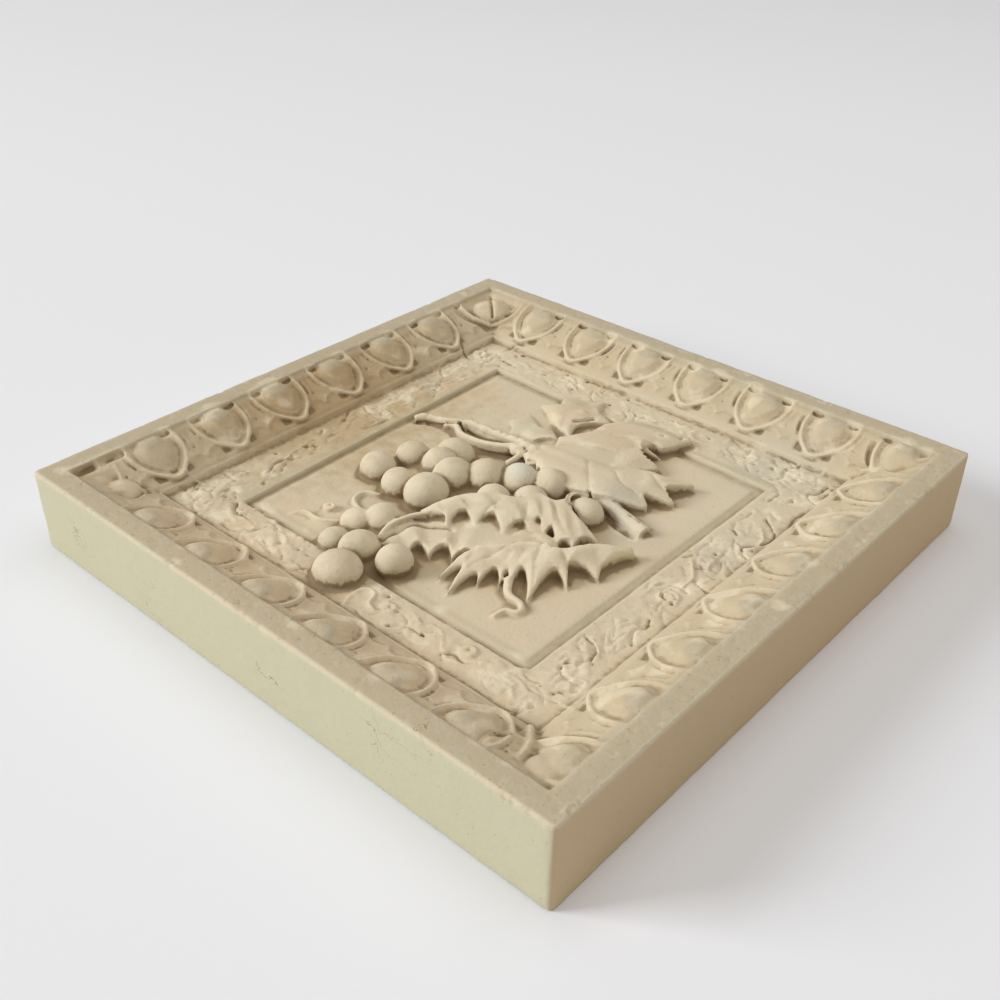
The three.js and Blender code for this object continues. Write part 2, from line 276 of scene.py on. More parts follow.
# %% [markdown]
# ## The egg and its husk
# An egg-and-dart moulding repeats one unit. The egg is a shield with a thin lip round it and a
# soft dome inside. It could be a squashed ball, but the real one has a quick shoulder and a broad
# crown. Extruding its outline a little at a time and shrinking it at each rise gives just that.
# The husk is a thick ridge round the egg with a finer one inside it. The dart is a three-pointed
# arrow with a hollow middle, which stands on a low sill, with a web behind it that ties the husks
# to the rim. All are made lying flat, with u along the side of the plaque and v up the slope, and
# are tilted on to the bed afterwards.

# %% Model one unit of the moulding
BED_TILT = math.radians(21.0)  # the slope of the bed under the moulding
PITCH = 36.5  # from one egg to the next
# half widths of the egg at heights v: pointed below, fullest above the middle, rounded at the top
EGG_OUTLINE = [
    (0, 3.2), (2.2, 4.4), (5.0, 7.2), (7.6, 10.8), (9.5, 14.8), (10.0, 18.4), (9.3, 21.6),
    (7.0, 24.2), (5.0, 26.8),
]
# the dart from its lower point over the side barb to its stem under the rim
DART_OUTLINE = [
    (0, 1.6), (1.2, 4.2), (3.4, 6.2), (7.9, 6.4), (5.6, 9.2), (3.9, 12.8), (2.9, 16.5), (2.5, 20),
    (3, 25),
]


def both_sides(half):
    """An outline from its right half, bottom to top."""
    return half + [(-u, v) for u, v in reversed(half) if u > 0.01]


def raise_face(outline, thickness, name):
    """A flat slab of an outline, sunk 5 mm in the bed, open in edit mode with its top selected."""
    form = draw([[(u, v, -5) for u, v in outline]], name, closed=True)
    edit(form, "FACE")
    bpy.ops.mesh.select_all(action="SELECT")
    bpy.ops.mesh.extrude_region_move(TRANSFORM_OT_translate={"value": (0, 0, 5 + thickness)})
    return form


def dome(steps):
    """Extrudes the selected face once for each rise, and shrinks it to a share of its size."""
    for share, rise in steps:
        bpy.ops.mesh.extrude_region_move(TRANSFORM_OT_translate={"value": (0, 0, rise)})
        bpy.ops.transform.resize(value=(share, share, 1))


def close_up():
    """Turns all faces outward and leaves edit mode."""
    bpy.ops.mesh.select_all(action="SELECT")
    bpy.ops.mesh.normals_make_consistent(inside=False)
    return done()


def make_egg():
    """The shield-shaped egg with its lip."""
    raise_face(both_sides(EGG_OUTLINE), 0.5, "egg")
    # a thin lip runs round the egg, then a shallow groove, and the shield rises inside it
    dome([(0.98, 0.9), (0.96, 0.5), (0.94, 0.0), (0.96, -0.2)])
    bpy.ops.transform.rotate(value=math.radians(-3), orient_axis="X", center_override=(0, 14, 1.6))
    dome([(0.9, 0.8), (0.86, 0.6), (0.78, 0.4), (0.6, 0.2)])
    return close_up()


def make_husk():
    """Two ridges, the finer one a little way in from the other."""

    def loop(shrink, height):
        path = [(12.7, 26), (13.2, 20), (12.5, 14.4), (10.0, 8.2), (5.5, 3.0)]
        arm = [(u - shrink, v + 0.75 * shrink * (1 - v / 26), height) for u, v in path]
        return arm + [(0, shrink - 0.5, height)] + [(-u, v, w) for u, v, w in reversed(arm)]

    return join([rod([loop(0, 1.1)], 1.3), rod([loop(2.0, 0.6)], 0.75)], "husk")


def make_dart():
    """The arrow, with a raised edge and a hollow middle."""
    raise_face(both_sides(DART_OUTLINE), 1.2, "dart")
    bpy.ops.mesh.inset(thickness=0.5, depth=0.6)
    bpy.ops.mesh.inset(thickness=0.7, depth=-0.6)
    return close_up()


def make_bridge():
    """The web under the rim between two husks, and the sill that the dart stands on."""
    bpy.ops.mesh.primitive_cube_add(size=1, location=(0, 24, -1.5), scale=(9.6, 5.0, 6.4))
    web = freeze(bpy.context.object)
    bpy.ops.mesh.primitive_cube_add(size=1, location=(0, 2.6, -1.5), scale=(17.0, 6.0, 4.5))
    return join([web, freeze(bpy.context.object)], "bridge")


# %% [markdown]
# ## The rows
# The four sides repeat the unit at one pitch, but the mould maker pressed it along by hand, so no
# row is centred on its side. Each copy is the same mesh, set down and turned with its side, with a
# small seeded wobble so that no two are exactly alike.

# %% Set out the four rows
BED_FOOT_HEIGHT = 28.1
ROW_SHIFTS = (7.0, 5.5, 2.5, 8.0)  # how far each row lies off the middle of its side
EGGS_IN_A_ROW = 6
ROW_END = 112.0


def set_on_bed(unit):
    """Turns a flat unit round and tilts it on to the bed of the side nearest to -Y."""
    only(unit)
    unit.rotation_euler = (0, 0, math.pi)
    freeze(unit)
    unit.rotation_euler = (-BED_TILT, 0, 0)
    unit.location = (0, -MOULDING_FOOT, BED_FOOT_HEIGHT)
    return freeze(unit)


def twin_of(thing):
    """A copy with a mesh of its own."""
    twin = thing.copy()
    twin.data = thing.data.copy()
    bpy.context.collection.objects.link(twin)
    return twin


def copy_of(unit, along, side, wobble=0.0, scale=1.0):
    """One copy of a unit, moved along the side and turned to side 0 to 3."""
    twin = twin_of(unit)
    twin.scale = (scale, 1, 1)
    twin.location = (along + random.uniform(-wobble, wobble), random.uniform(-wobble, wobble) * 0.6, 0)
    freeze(twin)
    twin.rotation_euler = (0, 0, side * math.pi / 2)
    return freeze(twin)


egg_unit = set_on_bed(make_egg())
husk_unit = set_on_bed(make_husk())
dart_unit = set_on_bed(join([make_dart(), make_bridge()], "dart"))
moulding = []
for side, shift in enumerate(ROW_SHIFTS):
    for i in range(EGGS_IN_A_ROW):
        along = shift + (i - (EGGS_IN_A_ROW - 1) / 2) * PITCH
        moulding.append(copy_of(egg_unit, along, side, 0.3))
        moulding.append(copy_of(husk_unit, along, side, 0.3))
        moulding.append(copy_of(dart_unit, along + PITCH / 2, side, 0.3))
    # the row also begins with a dart where there is room for one
    first = shift - EGGS_IN_A_ROW / 2 * PITCH
    if first > -ROW_END:
        moulding.append(copy_of(dart_unit, first, side, 0.3))
# two rows run on into the corners at the right with a seventh egg
for side in (1, 2):
    along = ROW_SHIFTS[side] - (EGGS_IN_A_ROW + 1) / 2 * PITCH
    moulding.append(copy_of(egg_unit, along, side, scale=0.9))
    moulding.append(copy_of(husk_unit, along, side, scale=0.9))
print(len(moulding), "copies in the four rows")

# %% [markdown]
# ## The grapes
# A grape is a slightly squashed ball, sunk in the panel to about half. Each has its own size and
# lean, and they crowd and overlap as in a real bunch. A ball from a cube that is subdivided and
# rounded has no poles, so it stays smooth from every side.

# %% Model the bunch
GRAPES = [
    # x, y, height of the middle, radius
    (-57, -29, 25.5, 8.4), (-51, -12, 26.5, 7.9), (-37, 2, 26, 9.3), (-39, -33, 26.5, 7.9),
    (-35, -10, 28, 8.4), (-22, -15, 29, 9.4), (-22, -32, 28.5, 9.5), (-11, -5, 28.5, 9.2),
    (2, 4, 28, 8.7), (14, 11, 27.5, 8.3), (4, -16, 28, 8.0), (17, -6, 28, 8.0),
    (-30, -67, 26, 7.2), (-22, -59, 27, 8.1), (-29, -81, 24, 6.8), (-14, -80, 27, 8.4),
    (4, -77, 28, 7.4), (-10, -96, 25.5, 9.9),
]


def make_grape(x, y, height, radius):
    """A ball from a rounded cube, a little longer one way than the other, seeded."""
    bpy.ops.mesh.primitive_cube_add(size=1, location=(0, 0, 0))
    grape = bpy.context.object
    edit(grape)
    bpy.ops.mesh.select_all(action="SELECT")
    bpy.ops.mesh.subdivide(number_cuts=7)
    bpy.ops.transform.tosphere(value=1)
    done()
    reach = max(v.co.length for v in grape.data.vertices)
    stretch = random.uniform(0.95, 1.07)
    grape.scale = (radius / reach * stretch, radius / reach / stretch, radius / reach * 0.98)
    grape.rotation_euler = (random.uniform(-0.3, 0.3), random.uniform(-0.3, 0.3), random.uniform(0, 3))
    grape.location = (x, y, height)
    return freeze(grape)


grapes = [make_grape(x, y, height - 0.4, radius * 1.08) for x, y, height, radius in GRAPES]
print(len(grapes), "grapes")

# %% [markdown]
# ## The leaves
# A vine leaf is a sheet that rises to a fold and falls to a toothed edge. It is drawn as a few
# lines that run the same way: the smooth upper edge, lines across the blade, and the edge with its
# teeth and notches. Bridging each line to the next gives the blade, and extruding it down into the
# slab gives it its thick, undercut-looking wall.

# %% Bridge drawn lines into leaf blades
ROOT_HEIGHT = 16.0  # the walls of the leaves end here, inside the slab


def sample(points, count):
    """Evenly numbered points along a smooth curve through the given ones."""
    points = [Vector(p) for p in points]
    padded = [2 * points[0] - points[1], *points, 2 * points[-1] - points[-2]]
    spans = len(points) - 1
    made = []
    for i in range(count):
        place = min(i * spans / (count - 1), spans - 1e-6)
        k = int(place)
        t = place - k
        a, b, c, d = padded[k : k + 4]
        square, cube = 2 * a - 5 * b + 4 * c - d, 3 * b - a - 3 * c + d
        made.append(0.5 * (2 * b + (c - a) * t + square * t**2 + cube * t**3))
    return made


def blade(rows, name):
    """A solid whose top is bridged through rows of equal length and whose walls go straight down."""
    leaf = draw(rows, name)
    edit(leaf, "EDGE")
    places = [[Vector(p) for p in row] for row in rows]

    def spot(place):
        return tuple(round(c, 2) for c in place)

    for near, far in zip(places, places[1:]):
        wanted = {spot((a + b) / 2) for row in (near, far) for a, b in zip(row, row[1:])}
        pick(lambda e: len(e.link_faces) < 2 and spot(middle(e)) in wanted, "edges")
        bpy.ops.mesh.bridge_edge_loops()
    bpy.ops.mesh.select_all(action="SELECT")
    bpy.ops.mesh.normals_make_consistent(inside=False)
    bpy.ops.mesh.extrude_region_move(TRANSFORM_OT_translate={"value": (0, 0, -1)})
    bpy.ops.transform.resize(value=(1, 1, 0))
    bm = bmesh.from_edit_mesh(leaf.data)
    level = next(v.co.z for v in bm.verts if v.select)
    bpy.ops.transform.translate(value=(0, 0, ROOT_HEIGHT - level))
    return close_up()


def hanging_edge(points, spine):
    """An edge through tip, arch, tip, arch ... tip: it hangs in claws and rises in round arches."""
    points = [Vector(p) for p in points]
    edge = []

    def flank(tip, back, arch, share):
        """From a tip up along its own claw, and over to the arch."""
        reach = min(0.9, (arch - tip).length / max((back - tip).length, 0.1))
        bend = tip.lerp(back, reach).lerp(arch, 0.5)
        return (1 - share) ** 2 * tip + 2 * share * (1 - share) * bend + share**2 * arch

    for i in range(0, len(points) - 2, 2):
        tip, arch, following = points[i : i + 3]
        back, next_back = spine[i // 2], spine[i // 2 + 1]
        edge += [flank(tip, back, arch, share) for share in (0, 0.36, 0.72)]
        edge += [flank(following, next_back, arch, share) for share in (1, 0.72, 0.36)]
    edge.append(points[-1])
    return edge


def fall(spine, edge, swell, name, cuts=6):
    """One fold of a leaf, from its smooth spine down to its hanging edge."""
    spine = [Vector(p) for p in spine]
    front = hanging_edge(edge, spine)
    backs = sample(spine, len(front))
    rows = []
    for j in range(cuts + 1):
        share = j / cuts
        row = [back.lerp(end, share) for back, end in zip(backs, front)]
        for point in row:
            point.z += swell * math.sin(math.pi * share**1.2)
        rows.append(row)
    return blade(rows, name)


def lobe(left, rib, right, columns, name, swell=1.1):
    """A lobe of a leaf with its midrib, all drawn from root to tip."""
    left, rib, right = (sample(line, columns) for line in (left, rib, right))
    rows = []
    for side, shares in ((right, (1, 0.75, 0.5, 0.25)), (rib, (0,)), (left, (0.25, 0.5, 0.75, 1))):
        for share in shares:
            row = [a.lerp(b, share) for a, b in zip(rib, side)]
            for point in row:
                point.z += swell * math.sin(math.pi * share)
            rows.append(row)
    return blade(rows, name)


# %% [markdown]
# The lower leaf is folded over the bunch, so it isn't one sheet but three falls that hang from
# folds: a small one on top, one between, and the large one below. Each is drawn by its smooth
# spine and by its hanging edge, given as tip, arch, tip and so on, and the helper above draws the
# claws between them.

# %% Model the lower leaf
lower_leaf = [
    fall(
        spine=[
            (-12, -46, 31), (-8, -38, 34), (-3, -28, 35), (6, -19, 35.4), (17, -13, 35),
            (22, -5, 35.4), (29, -4, 34.8), (33, 2, 34.4), (36, -3, 33.5),
        ],
        edge=[
            (-5, -47, 30.5), (0, -42, 32.8), (6, -48, 29.5), (4, -34, 33.6), (14, -38, 29.5),
            (15, -27, 33.8), (27, -35, 29.5), (27, -23, 33.2), (33, -24, 29.5), (31, -16, 33.4),
            (39, -23, 29), (38, -16, 32.4), (46, -23, 28.6), (48, -18, 30.4), (52, -19, 28.2),
            (52, -12, 30), (58, -8, 27),
        ],
        swell=1.0,
        name="top_fall",
    ),
    fall(
        spine=[
            (-12, -74, 29), (-15, -60, 30), (-11, -44, 29.6), (2, -31, 29.2), (18, -24, 28.8),
            (38, -24, 29),
        ],
        edge=[
            (-9, -75, 28.5), (-3, -69.5, 29.3), (4, -69, 26.6), (2, -61, 29.6), (10, -63, 27),
            (12, -54, 29.6), (19, -59, 27), (20, -53, 30), (24, -51, 29.6), (32, -43, 30.2),
            (42, -34, 30.2),
        ],
        swell=0.5,
        name="middle_fall",
    ),
    fall(
        spine=[
            (22, -54, 29.6), (25, -49, 30.6), (31, -44, 31.2), (36, -39, 31.8), (40, -35, 32.2),
            (47, -31, 32.8), (54, -26, 32.8), (60, -14, 31.4), (71, -3, 28.5),
        ],
        edge=[
            (23, -71, 25.5), (27, -60, 28.6), (32, -76, 24.6), (34, -59, 28.4), (37, -63, 26),
            (38, -52, 29.2), (44, -57, 26), (42, -50, 29), (48, -56, 26), (46, -45, 30),
            (59, -57, 24.6), (57, -37, 30.2), (66, -40, 25), (59, -31, 30.6), (72, -27, 25.4),
            (69, -20, 28.6), (74, -5, 26.6),
        ],
        swell=1.1,
        name="lower_fall",
    ),
]

# %% [markdown]
# The right leaf lies open, so it is drawn by its midribs. Each lobe is bridged from one toothed
# edge over the raised rib to the other edge. The small leaf and the sprig above it are lobes of
# the same kind, only lower.

# %% Model the right leaf and the small leaves
right_leaf = [
    lobe(
        left=[
            (-9, 46, 29), (-3, 62, 28), (-3, 76, 26.6), (6, 89, 26.2), (15, 90, 26.4),
            (24, 89, 26.6), (36, 90, 26.4),
        ],
        rib=[
            (-7, 42, 30.5), (4, 56, 31.6), (15, 63, 31.8), (19, 71, 31.4), (23, 80, 30.6),
            (28, 84, 29.6), (38, 89, 27.6),
        ],
        right=[
            (4, 24, 31), (18, 27, 31.6), (29, 40, 30.8), (35, 46, 29.8), (41, 58, 27.4),
            (32, 59, 29.8), (27, 63, 30), (28, 71, 29.8), (33, 73, 28.6), (36, 80, 27.8),
            (39, 89, 26.6),
        ],
        columns=41,
        name="upper_lobe",
    ),
    lobe(
        left=[
            (-9, 36, 30), (6, 38, 31), (29, 41, 30.6), (36, 47, 30), (43, 51, 29.5),
            (49, 52, 28.8), (62, 58, 26.2),
        ],
        rib=[
            (-8, 28, 31), (6, 28, 32.4), (27, 27, 33), (38, 32, 33), (46, 40, 32), (52, 46, 30.6),
            (62, 57, 26.6),
        ],
        right=[
            (-3, 19, 30.4), (10, 13, 30.6), (22, 12, 31), (33, 15, 31), (42, 19, 31), (56, 28, 26.6),
            (51, 33, 30), (63, 40, 26), (55, 43, 29.6), (62, 57, 25.8),
        ],
        columns=37,
        name="lower_lobe",
    ),
]
small_leaves = [
    lobe(
        left=[
            (-24, 60, 24.4), (-33, 66, 24.2), (-42, 73, 24.2), (-35, 78, 25), (-37, 84, 24.8),
            (-29, 91, 25),
        ],
        rib=[(-17, 57, 26), (-21, 66, 26.8), (-24, 76, 27), (-23, 85, 26.2), (-20, 95, 25)],
        right=[
            (-9, 55, 25), (-13, 63, 26.2), (-11, 71, 26.6), (-4, 81, 24.4), (-13, 84, 25.6),
            (-18, 94, 24.8),
        ],
        columns=21,
        name="top_leaf",
    ),
    lobe(
        left=[(-22, 41, 25), (-30, 42, 24.6), (-35, 40, 24), (-38, 45, 24.4), (-44, 49, 23.8)],
        rib=[(-18, 46, 26), (-27, 49, 25.8), (-34, 51, 25.2), (-42, 54, 24.2)],
        right=[(-13, 50, 25.4), (-21, 55, 24.8), (-27, 53, 25), (-33, 57, 24.4), (-40, 60, 24.2)],
        columns=17,
        name="sprig",
        swell=0.3,
    ),
]
leaves = lower_leaf + right_leaf + small_leaves
for leaf in leaves:
    print(leaf.name, len(leaf.data.polygons), "faces")

# %% [markdown]
# ## The branch
# The branch comes in from the left as two strands with dark slots between them, passes under the
# knot where the leaves spring, and shows again on the right as a cut stub. Rods of their own
# thickness are enough, since the remesh grows them together.

# %% Model the branch, the bud and the tendrils
def strand(route, radius, taper=(1.0, 1.0)):
    """A rod with a thicker one under it, so that it stands on the slab like a cast form."""
    below = [(x, y, z - 1.6 * radius) for x, y, z in route]
    return join([rod([route], radius, taper), rod([below], radius * 1.25, taper)], "strand")


branch = [
    # the upper strand, in two lengths
    strand(
        [
            (-79, 17, 24.6), (-76, 20, 26), (-71, 22, 26), (-64, 23.5, 26.4), (-58, 26.5, 27),
            (-52, 29.5, 27),
        ],
        2.0,
    ),
    strand([(-54, 29, 27), (-44, 30, 27.2), (-35, 30, 27.4), (-27, 31, 27.6), (-18, 31, 28.4)], 2.1),
    # the lower strand, in two lengths
    strand(
        [
            (-63, 21.5, 25.4), (-59, 23.5, 26.4), (-55, 22.5, 27), (-50, 19.5, 27),
            (-40, 18.5, 27.2), (-31, 20, 27.6),
        ],
        1.5,
    ),
    strand([(-33, 19.5, 27.6), (-25, 22.5, 28.2), (-17, 27, 29.4), (-11, 28, 30)], 1.6),
    # the cut stub at the right
    rod([[(28, 20.5, 26.6), (40, 19, 25.6), (54, 16, 24.6), (66, 13.6, 23.8)]], 3.9),
    # the stalk of the bunch and two spikes under the knot
    rod([[(-13, 24, 29), (-13, 18, 28), (-14, 13, 27)]], 1.5),
    rod([[(-7, 23, 29), (-5, 17, 31.4)]], 1.3, (1.2, 0.3)),
    rod([[(0, 20, 29), (-3, 15.5, 30.6)]], 1.4, (1.2, 0.3)),
    # the rim of the hood over the bud
    rod(
        [[(35, 13, 31), (31, 7, 33.4), (33, 0, 33.4), (38, -4, 32.2), (46, -7.5, 30.4), (54, -8, 28.2)]],
        1.4,
        (0.7, 0.7),
    ),
    # the rolled edge of the lobe over the bunch
    rod([[(-10, -75, 28.8), (-13.4, -63, 30.8), (-11.4, -55, 31.8), (-6, -46, 32.4)]], 1.3, (0.8, 0.8)),
    # the curling tendril under the lower leaf
    rod(
        [[
            (45, -52, 26), (51, -59, 24.8), (59, -60.5, 24.4), (61, -64, 24.2), (56, -67, 24),
            (55, -73, 24),
        ]],
        1.5,
        (1.4, 0.7),
    ),
]
tendrils = [
    rod(
        [[(-60, -80, 23.6), (-57, -75, 24), (-47, -74.5, 24.2), (-41, -71, 24), (-36, -66, 24)]],
        1.1,
        (0.5, 1.0),
    ),
    rod(
        [[(-36, -57, 24), (-43, -56, 24.2), (-48, -52, 24.2), (-48, -46, 24), (-41, -42, 24)]],
        1.1,
        (1.0, 0.8),
    ),
]


def make_ball(place, radii, name):
    """A lump with its own reach each way."""
    ball = make_grape(0, 0, 0, 1)
    ball.scale = radii
    ball.location = place
    ball.name = name
    return freeze(ball)


knots = [
    make_ball((-14, 27.5, 29.4), (4.2, 3.6, 3.4), "knot"),
    make_ball((-9.5, 27.5, 29.2), (3.6, 3.4, 3.4), "knot_bump"),
    make_ball((-17, 23.5, 28.4), (3.2, 2.8, 3.0), "knot_side"),
    make_ball((-8, 23, 28.6), (3.4, 2.8, 2.8), "knot_foot"),
    make_ball((-76, 20, 24.4), (4.0, 2.6, 1.8), "branch_knob"),
    make_ball((-51, 29.6, 26.8), (3.2, 2.2, 2.8), "branch_knob"),
    make_ball((-43, 29.6, 27), (2.6, 2.4, 2.8), "branch_knob"),
    make_ball((-34, 30.6, 27.4), (3.0, 2.0, 2.4), "branch_knob"),
    make_ball((39, 5.5, 26), (8.6, 8.4, 8.0), "bud"),
    rod([[(18, 66, 27), (26, 67, 27), (35, 69, 24.6)]], 1.9, (1.0, 0.2), name="leaf_tip"),
    make_ball((-19, 76, 25.4), (5.0, 3.4, 2.8), "top_leaf_crest"),
    make_ball((31, -20.5, 26.6), (6.5, 4.5, 4.4), "fold_floor"),
    make_ball((40, -24.5, 26.4), (8.0, 5.0, 4.2), "fold_floor"),
    make_ball((-5, 23, 28), (4.5, 5.5, 3.6), "leaf_root"),
    rod([[(25, -50, 29), (32, -43.5, 29.6), (40, -35.5, 30.6), (48, -30, 31)]], 2.8, name="fold_joint"),
    make_ball((-22, -12, 20), (40, 24, 8.6), "bunch_mound"),
    make_ball((-15, -72, 20), (24, 20, 7.4), "lower_mound"),
]
print(len(branch + tendrils + knots), "pieces of branch and tendril")

# %% [markdown]
# ## The corners of the moulding
# The rows meet badly at the corners, and each corner was patched in its own way: a large round egg
# cut by the mitre at the far left, an empty square pocket with a faint egg at the near left, and a
# squeezed seventh egg at each of the two right ones, with a muddle of husk ends at the near one.
# Flat lumps level the floor of each corner, and thin rods run in for the husk ends.

# %% Model the corners
corners = [
    make_ball((-125.5, 125.5, 32.4), (12.5, 12.5, 5.8), "far_left_egg"),
    make_ball((-118, -127, 31.6), (10.0, 9.0, 3.4), "near_left_egg"),
    make_ball((-131, -131, 30.5), (9.0, 9.0, 5.0), "near_left_floor"),
    make_ball((131, -131, 30), (12.0, 12.0, 8.0), "near_right_floor"),
    make_ball((132, 132, 30), (10.0, 10.0, 7.4), "far_right_floor"),
    # husk ends and mitres
    rod([[(-111, 138, 37.6), (-110.5, 128, 34), (-115, 118, 30.4), (-118, 116, 29.4)]], 1.6),
    rod([[(-138, 111, 37.6), (-128, 110.5, 34), (-118, 115, 30.4), (-116, 116, 29.4)]], 1.6),
    rod([[(138, 136, 38), (131, 130, 35.4), (122, 122, 32), (114, 117, 29.6)]], 1.3),
    rod([[(108, -112, 27.4), (113, -118, 30), (118, -126, 33.6), (120, -133, 35.6)]], 1.5),
    rod([[(-118, -138, 37.6), (-114, -128, 33.6), (-113, -118, 30)]], 1.5),
]
print(len(corners), "pieces at the corners")

# %% [markdown]
# ## The vine band
# The band carries a low vine: worn leaves no thicker than a coin, curled tendrils and rosettes.
# A leaf is drawn as a star outline and domed by extruding and shrinking it, once, and the copies
# are turned, sized and sunk differently. The curls are thin rods that lie half in the band.

# %% Model the low forms of the band
def make_band_leaf():
    lobes = 5
    outline = []
    for i in range(lobes * 4):
        angle = 2 * math.pi * i / (lobes * 4)
        reach = (1.08, 0.82, 0.6, 0.82)[i % 4] + (0.12 if i == 0 else 0)
        outline.append((reach * math.cos(angle), reach * math.sin(angle), -0.5))
    leaf = draw([outline], "band_leaf", closed=True)
    edit(leaf, "FACE")
    bpy.ops.mesh.select_all(action="SELECT")
    bpy.ops.mesh.extrude_region_move(TRANSFORM_OT_translate={"value": (0, 0, 0.55)})
    dome([(0.86, 0.1), (0.7, 0.06), (0.5, 0.03), (0.3, -0.03)])
    return close_up()


band_leaf = make_band_leaf()


def lay_leaf(x, y, size, turn, rise, lean):
    """One copy of the leaf, turned on the band and leaning a little."""
    twin = twin_of(band_leaf)
    twin.scale = (size * 1.15, size * 0.85, rise / 0.24)
    twin.rotation_euler = (lean, -lean * 0.5, turn)
    twin.location = (x, y, BAND_HEIGHT)
    return freeze(twin)


def curl(x, y, radius, start, turns=1.6):
    """A flat spiral of a tendril, from an angle inward."""
    count = int(turns * 10)
    points = []
    for i in range(count + 1):
        share = i / count
        angle = start + share * turns * 2 * math.pi
        reach = radius * (1 - 0.75 * share)
        rise = BAND_HEIGHT + 0.2 + share * 0.4
        points.append((x + reach * math.cos(angle), y + reach * math.sin(angle), rise))
    return points


BAND_LEAVES = [
    # x, y, size, turn
    (-96, -97, 9, 0.3), (-77, -98, 9, 1.2), (-54, -97, 9, 2.2), (-36, -99, 7.5, 0.2),
    (38, -101, 7.5, 0.9), (52, -97, 8, 0.4), (80, -98, 9, 1.1), (98, -84, 8, 0.6), (97, -70, 8, 2.0),
    (98, -44, 8, 1.5), (99, -28, 7, 0.3), (98, 36, 9, 0.8), (98, 56, 8, 2.4), (96, 82, 8, 1.3),
    (98, 97, 7, 0.2), (74, 98, 8, 0.5), (52, 98, 8, 1.9), (28, 99, 8, 0.9), (-30, 98, 8, 1.4),
    (-68, 99, 8, 1.0), (-98, 72, 8, 0.2), (-97, 36, 8, 1.4), (-98, 4, 8, 2.3), (-98, -28, 8, 0.7),
    (-97, -62, 9, 1.8),
]
ROSETTES = [
    # x, y, radius
    (63, -95, 3.6), (22, -97, 3.2), (99, -17, 5.0), (97, 14, 3.6), (-104, 93, 4.2), (-50, -65, 3.0),
]
STEMS = {
    # by their height on the band
    25.0: [
        [(8, -110), (5, -103), (6, -95), (11, -95), (14, -101), (20, -102), (24, -97)],
        [(99, -9), (100, -1), (95, 7), (92, 12), (96, 19)],
        [(92, 26), (97, 33), (105, 33), (107, 42), (102, 50), (97, 57)],
        [(104, -80), (97, -79), (93, -74), (97, -69), (100, -64), (93, -58)],
    ],
    24.8: [
        [(-92, 96), (-80, 101), (-66, 95), (-50, 101), (-36, 95)],
        [(-97, -92), (-101, -76), (-94, -60), (-100, -40), (-93, -22)],
        [(-101, 12), (-93, 26), (-101, 44), (-93, 60), (-100, 78)],
        [(-66, -103), (-50, -93), (-34, -103), (-20, -104)],
        [(30, -104), (44, -93), (60, -104), (76, -94), (92, -103)],
        [(-12, 102), (4, 94), (20, 103), (38, 95), (60, 103), (84, 93)],
    ],
}
STEM_ROUTES = [[(x, y, z) for x, y in route] for z, routes in STEMS.items() for route in routes]


def lay_leaves():
    """All the leaves, each worn to a seeded height of its own."""
    laid = []
    for leaf in BAND_LEAVES:
        rise = random.uniform(0.35, 0.8)
        laid.append(lay_leaf(*leaf, rise=rise, lean=random.uniform(-0.05, 0.05)))
    return laid


band = lay_leaves()
curls = [curl(x, y, radius, start=random.uniform(0, 6)) for x, y, radius in ROSETTES]
band.append(rod(curls, 0.75, (0.8, 0.6), 2))
band.append(rod(STEM_ROUTES, 0.7, (0.3, 0.3), 4))
print(len(band), "objects on the band")

# %% [markdown]
# ## One casting
# Everything is joined, and a voxel remesh pours it into one closed skin with no inner faces. A
# Boolean union would give hard creases and may fail on a hundred solids. A light smoothing then
# melts the joins, as plaster does in a rubber mould.

# %% Remesh the forms into one skin
VOXEL = 0.62


def finish_with(thing, kind, **settings):
    """Adds a modifier with these settings and applies it."""
    only(thing)
    modifier = thing.modifiers.new(kind.title(), kind)
    for name, value in settings.items():
        setattr(modifier, name, value)
    bpy.ops.object.modifier_apply(modifier=modifier.name)


for pattern_piece in (egg_unit, husk_unit, dart_unit, band_leaf):
    bpy.data.objects.remove(pattern_piece)
forms = [slab, *moulding, *grapes, *leaves, *branch, *tendrils, *knots, *corners, *band]
plaque = join(forms, "plaque_cast")
finish_with(plaque, "REMESH", mode="VOXEL", voxel_size=VOXEL)
finish_with(plaque, "SMOOTH", factor=0.5, iterations=2)
print("after the remesh:", len(plaque.data.vertices), "points")

# %% [markdown]
# ## Pressed lines
# The modeller drew in the soft clay with a thin stick: the mitres, the folds of the leaves, and
# the lively cuts of the vine band. To do the same, lines are drawn in the air and dropped on the
# skin with Shrinkwrap. Vertex Weight Proximity then weighs each point of the skin by how near it
# is to a line, and Displace presses it in by that weight. It needs no Boolean, and it leaves the
# soft round bottom of a line that was drawn in clay.

# %% A tool that presses lines into the skin
AIR = 60.0  # the height that the lines are dropped from


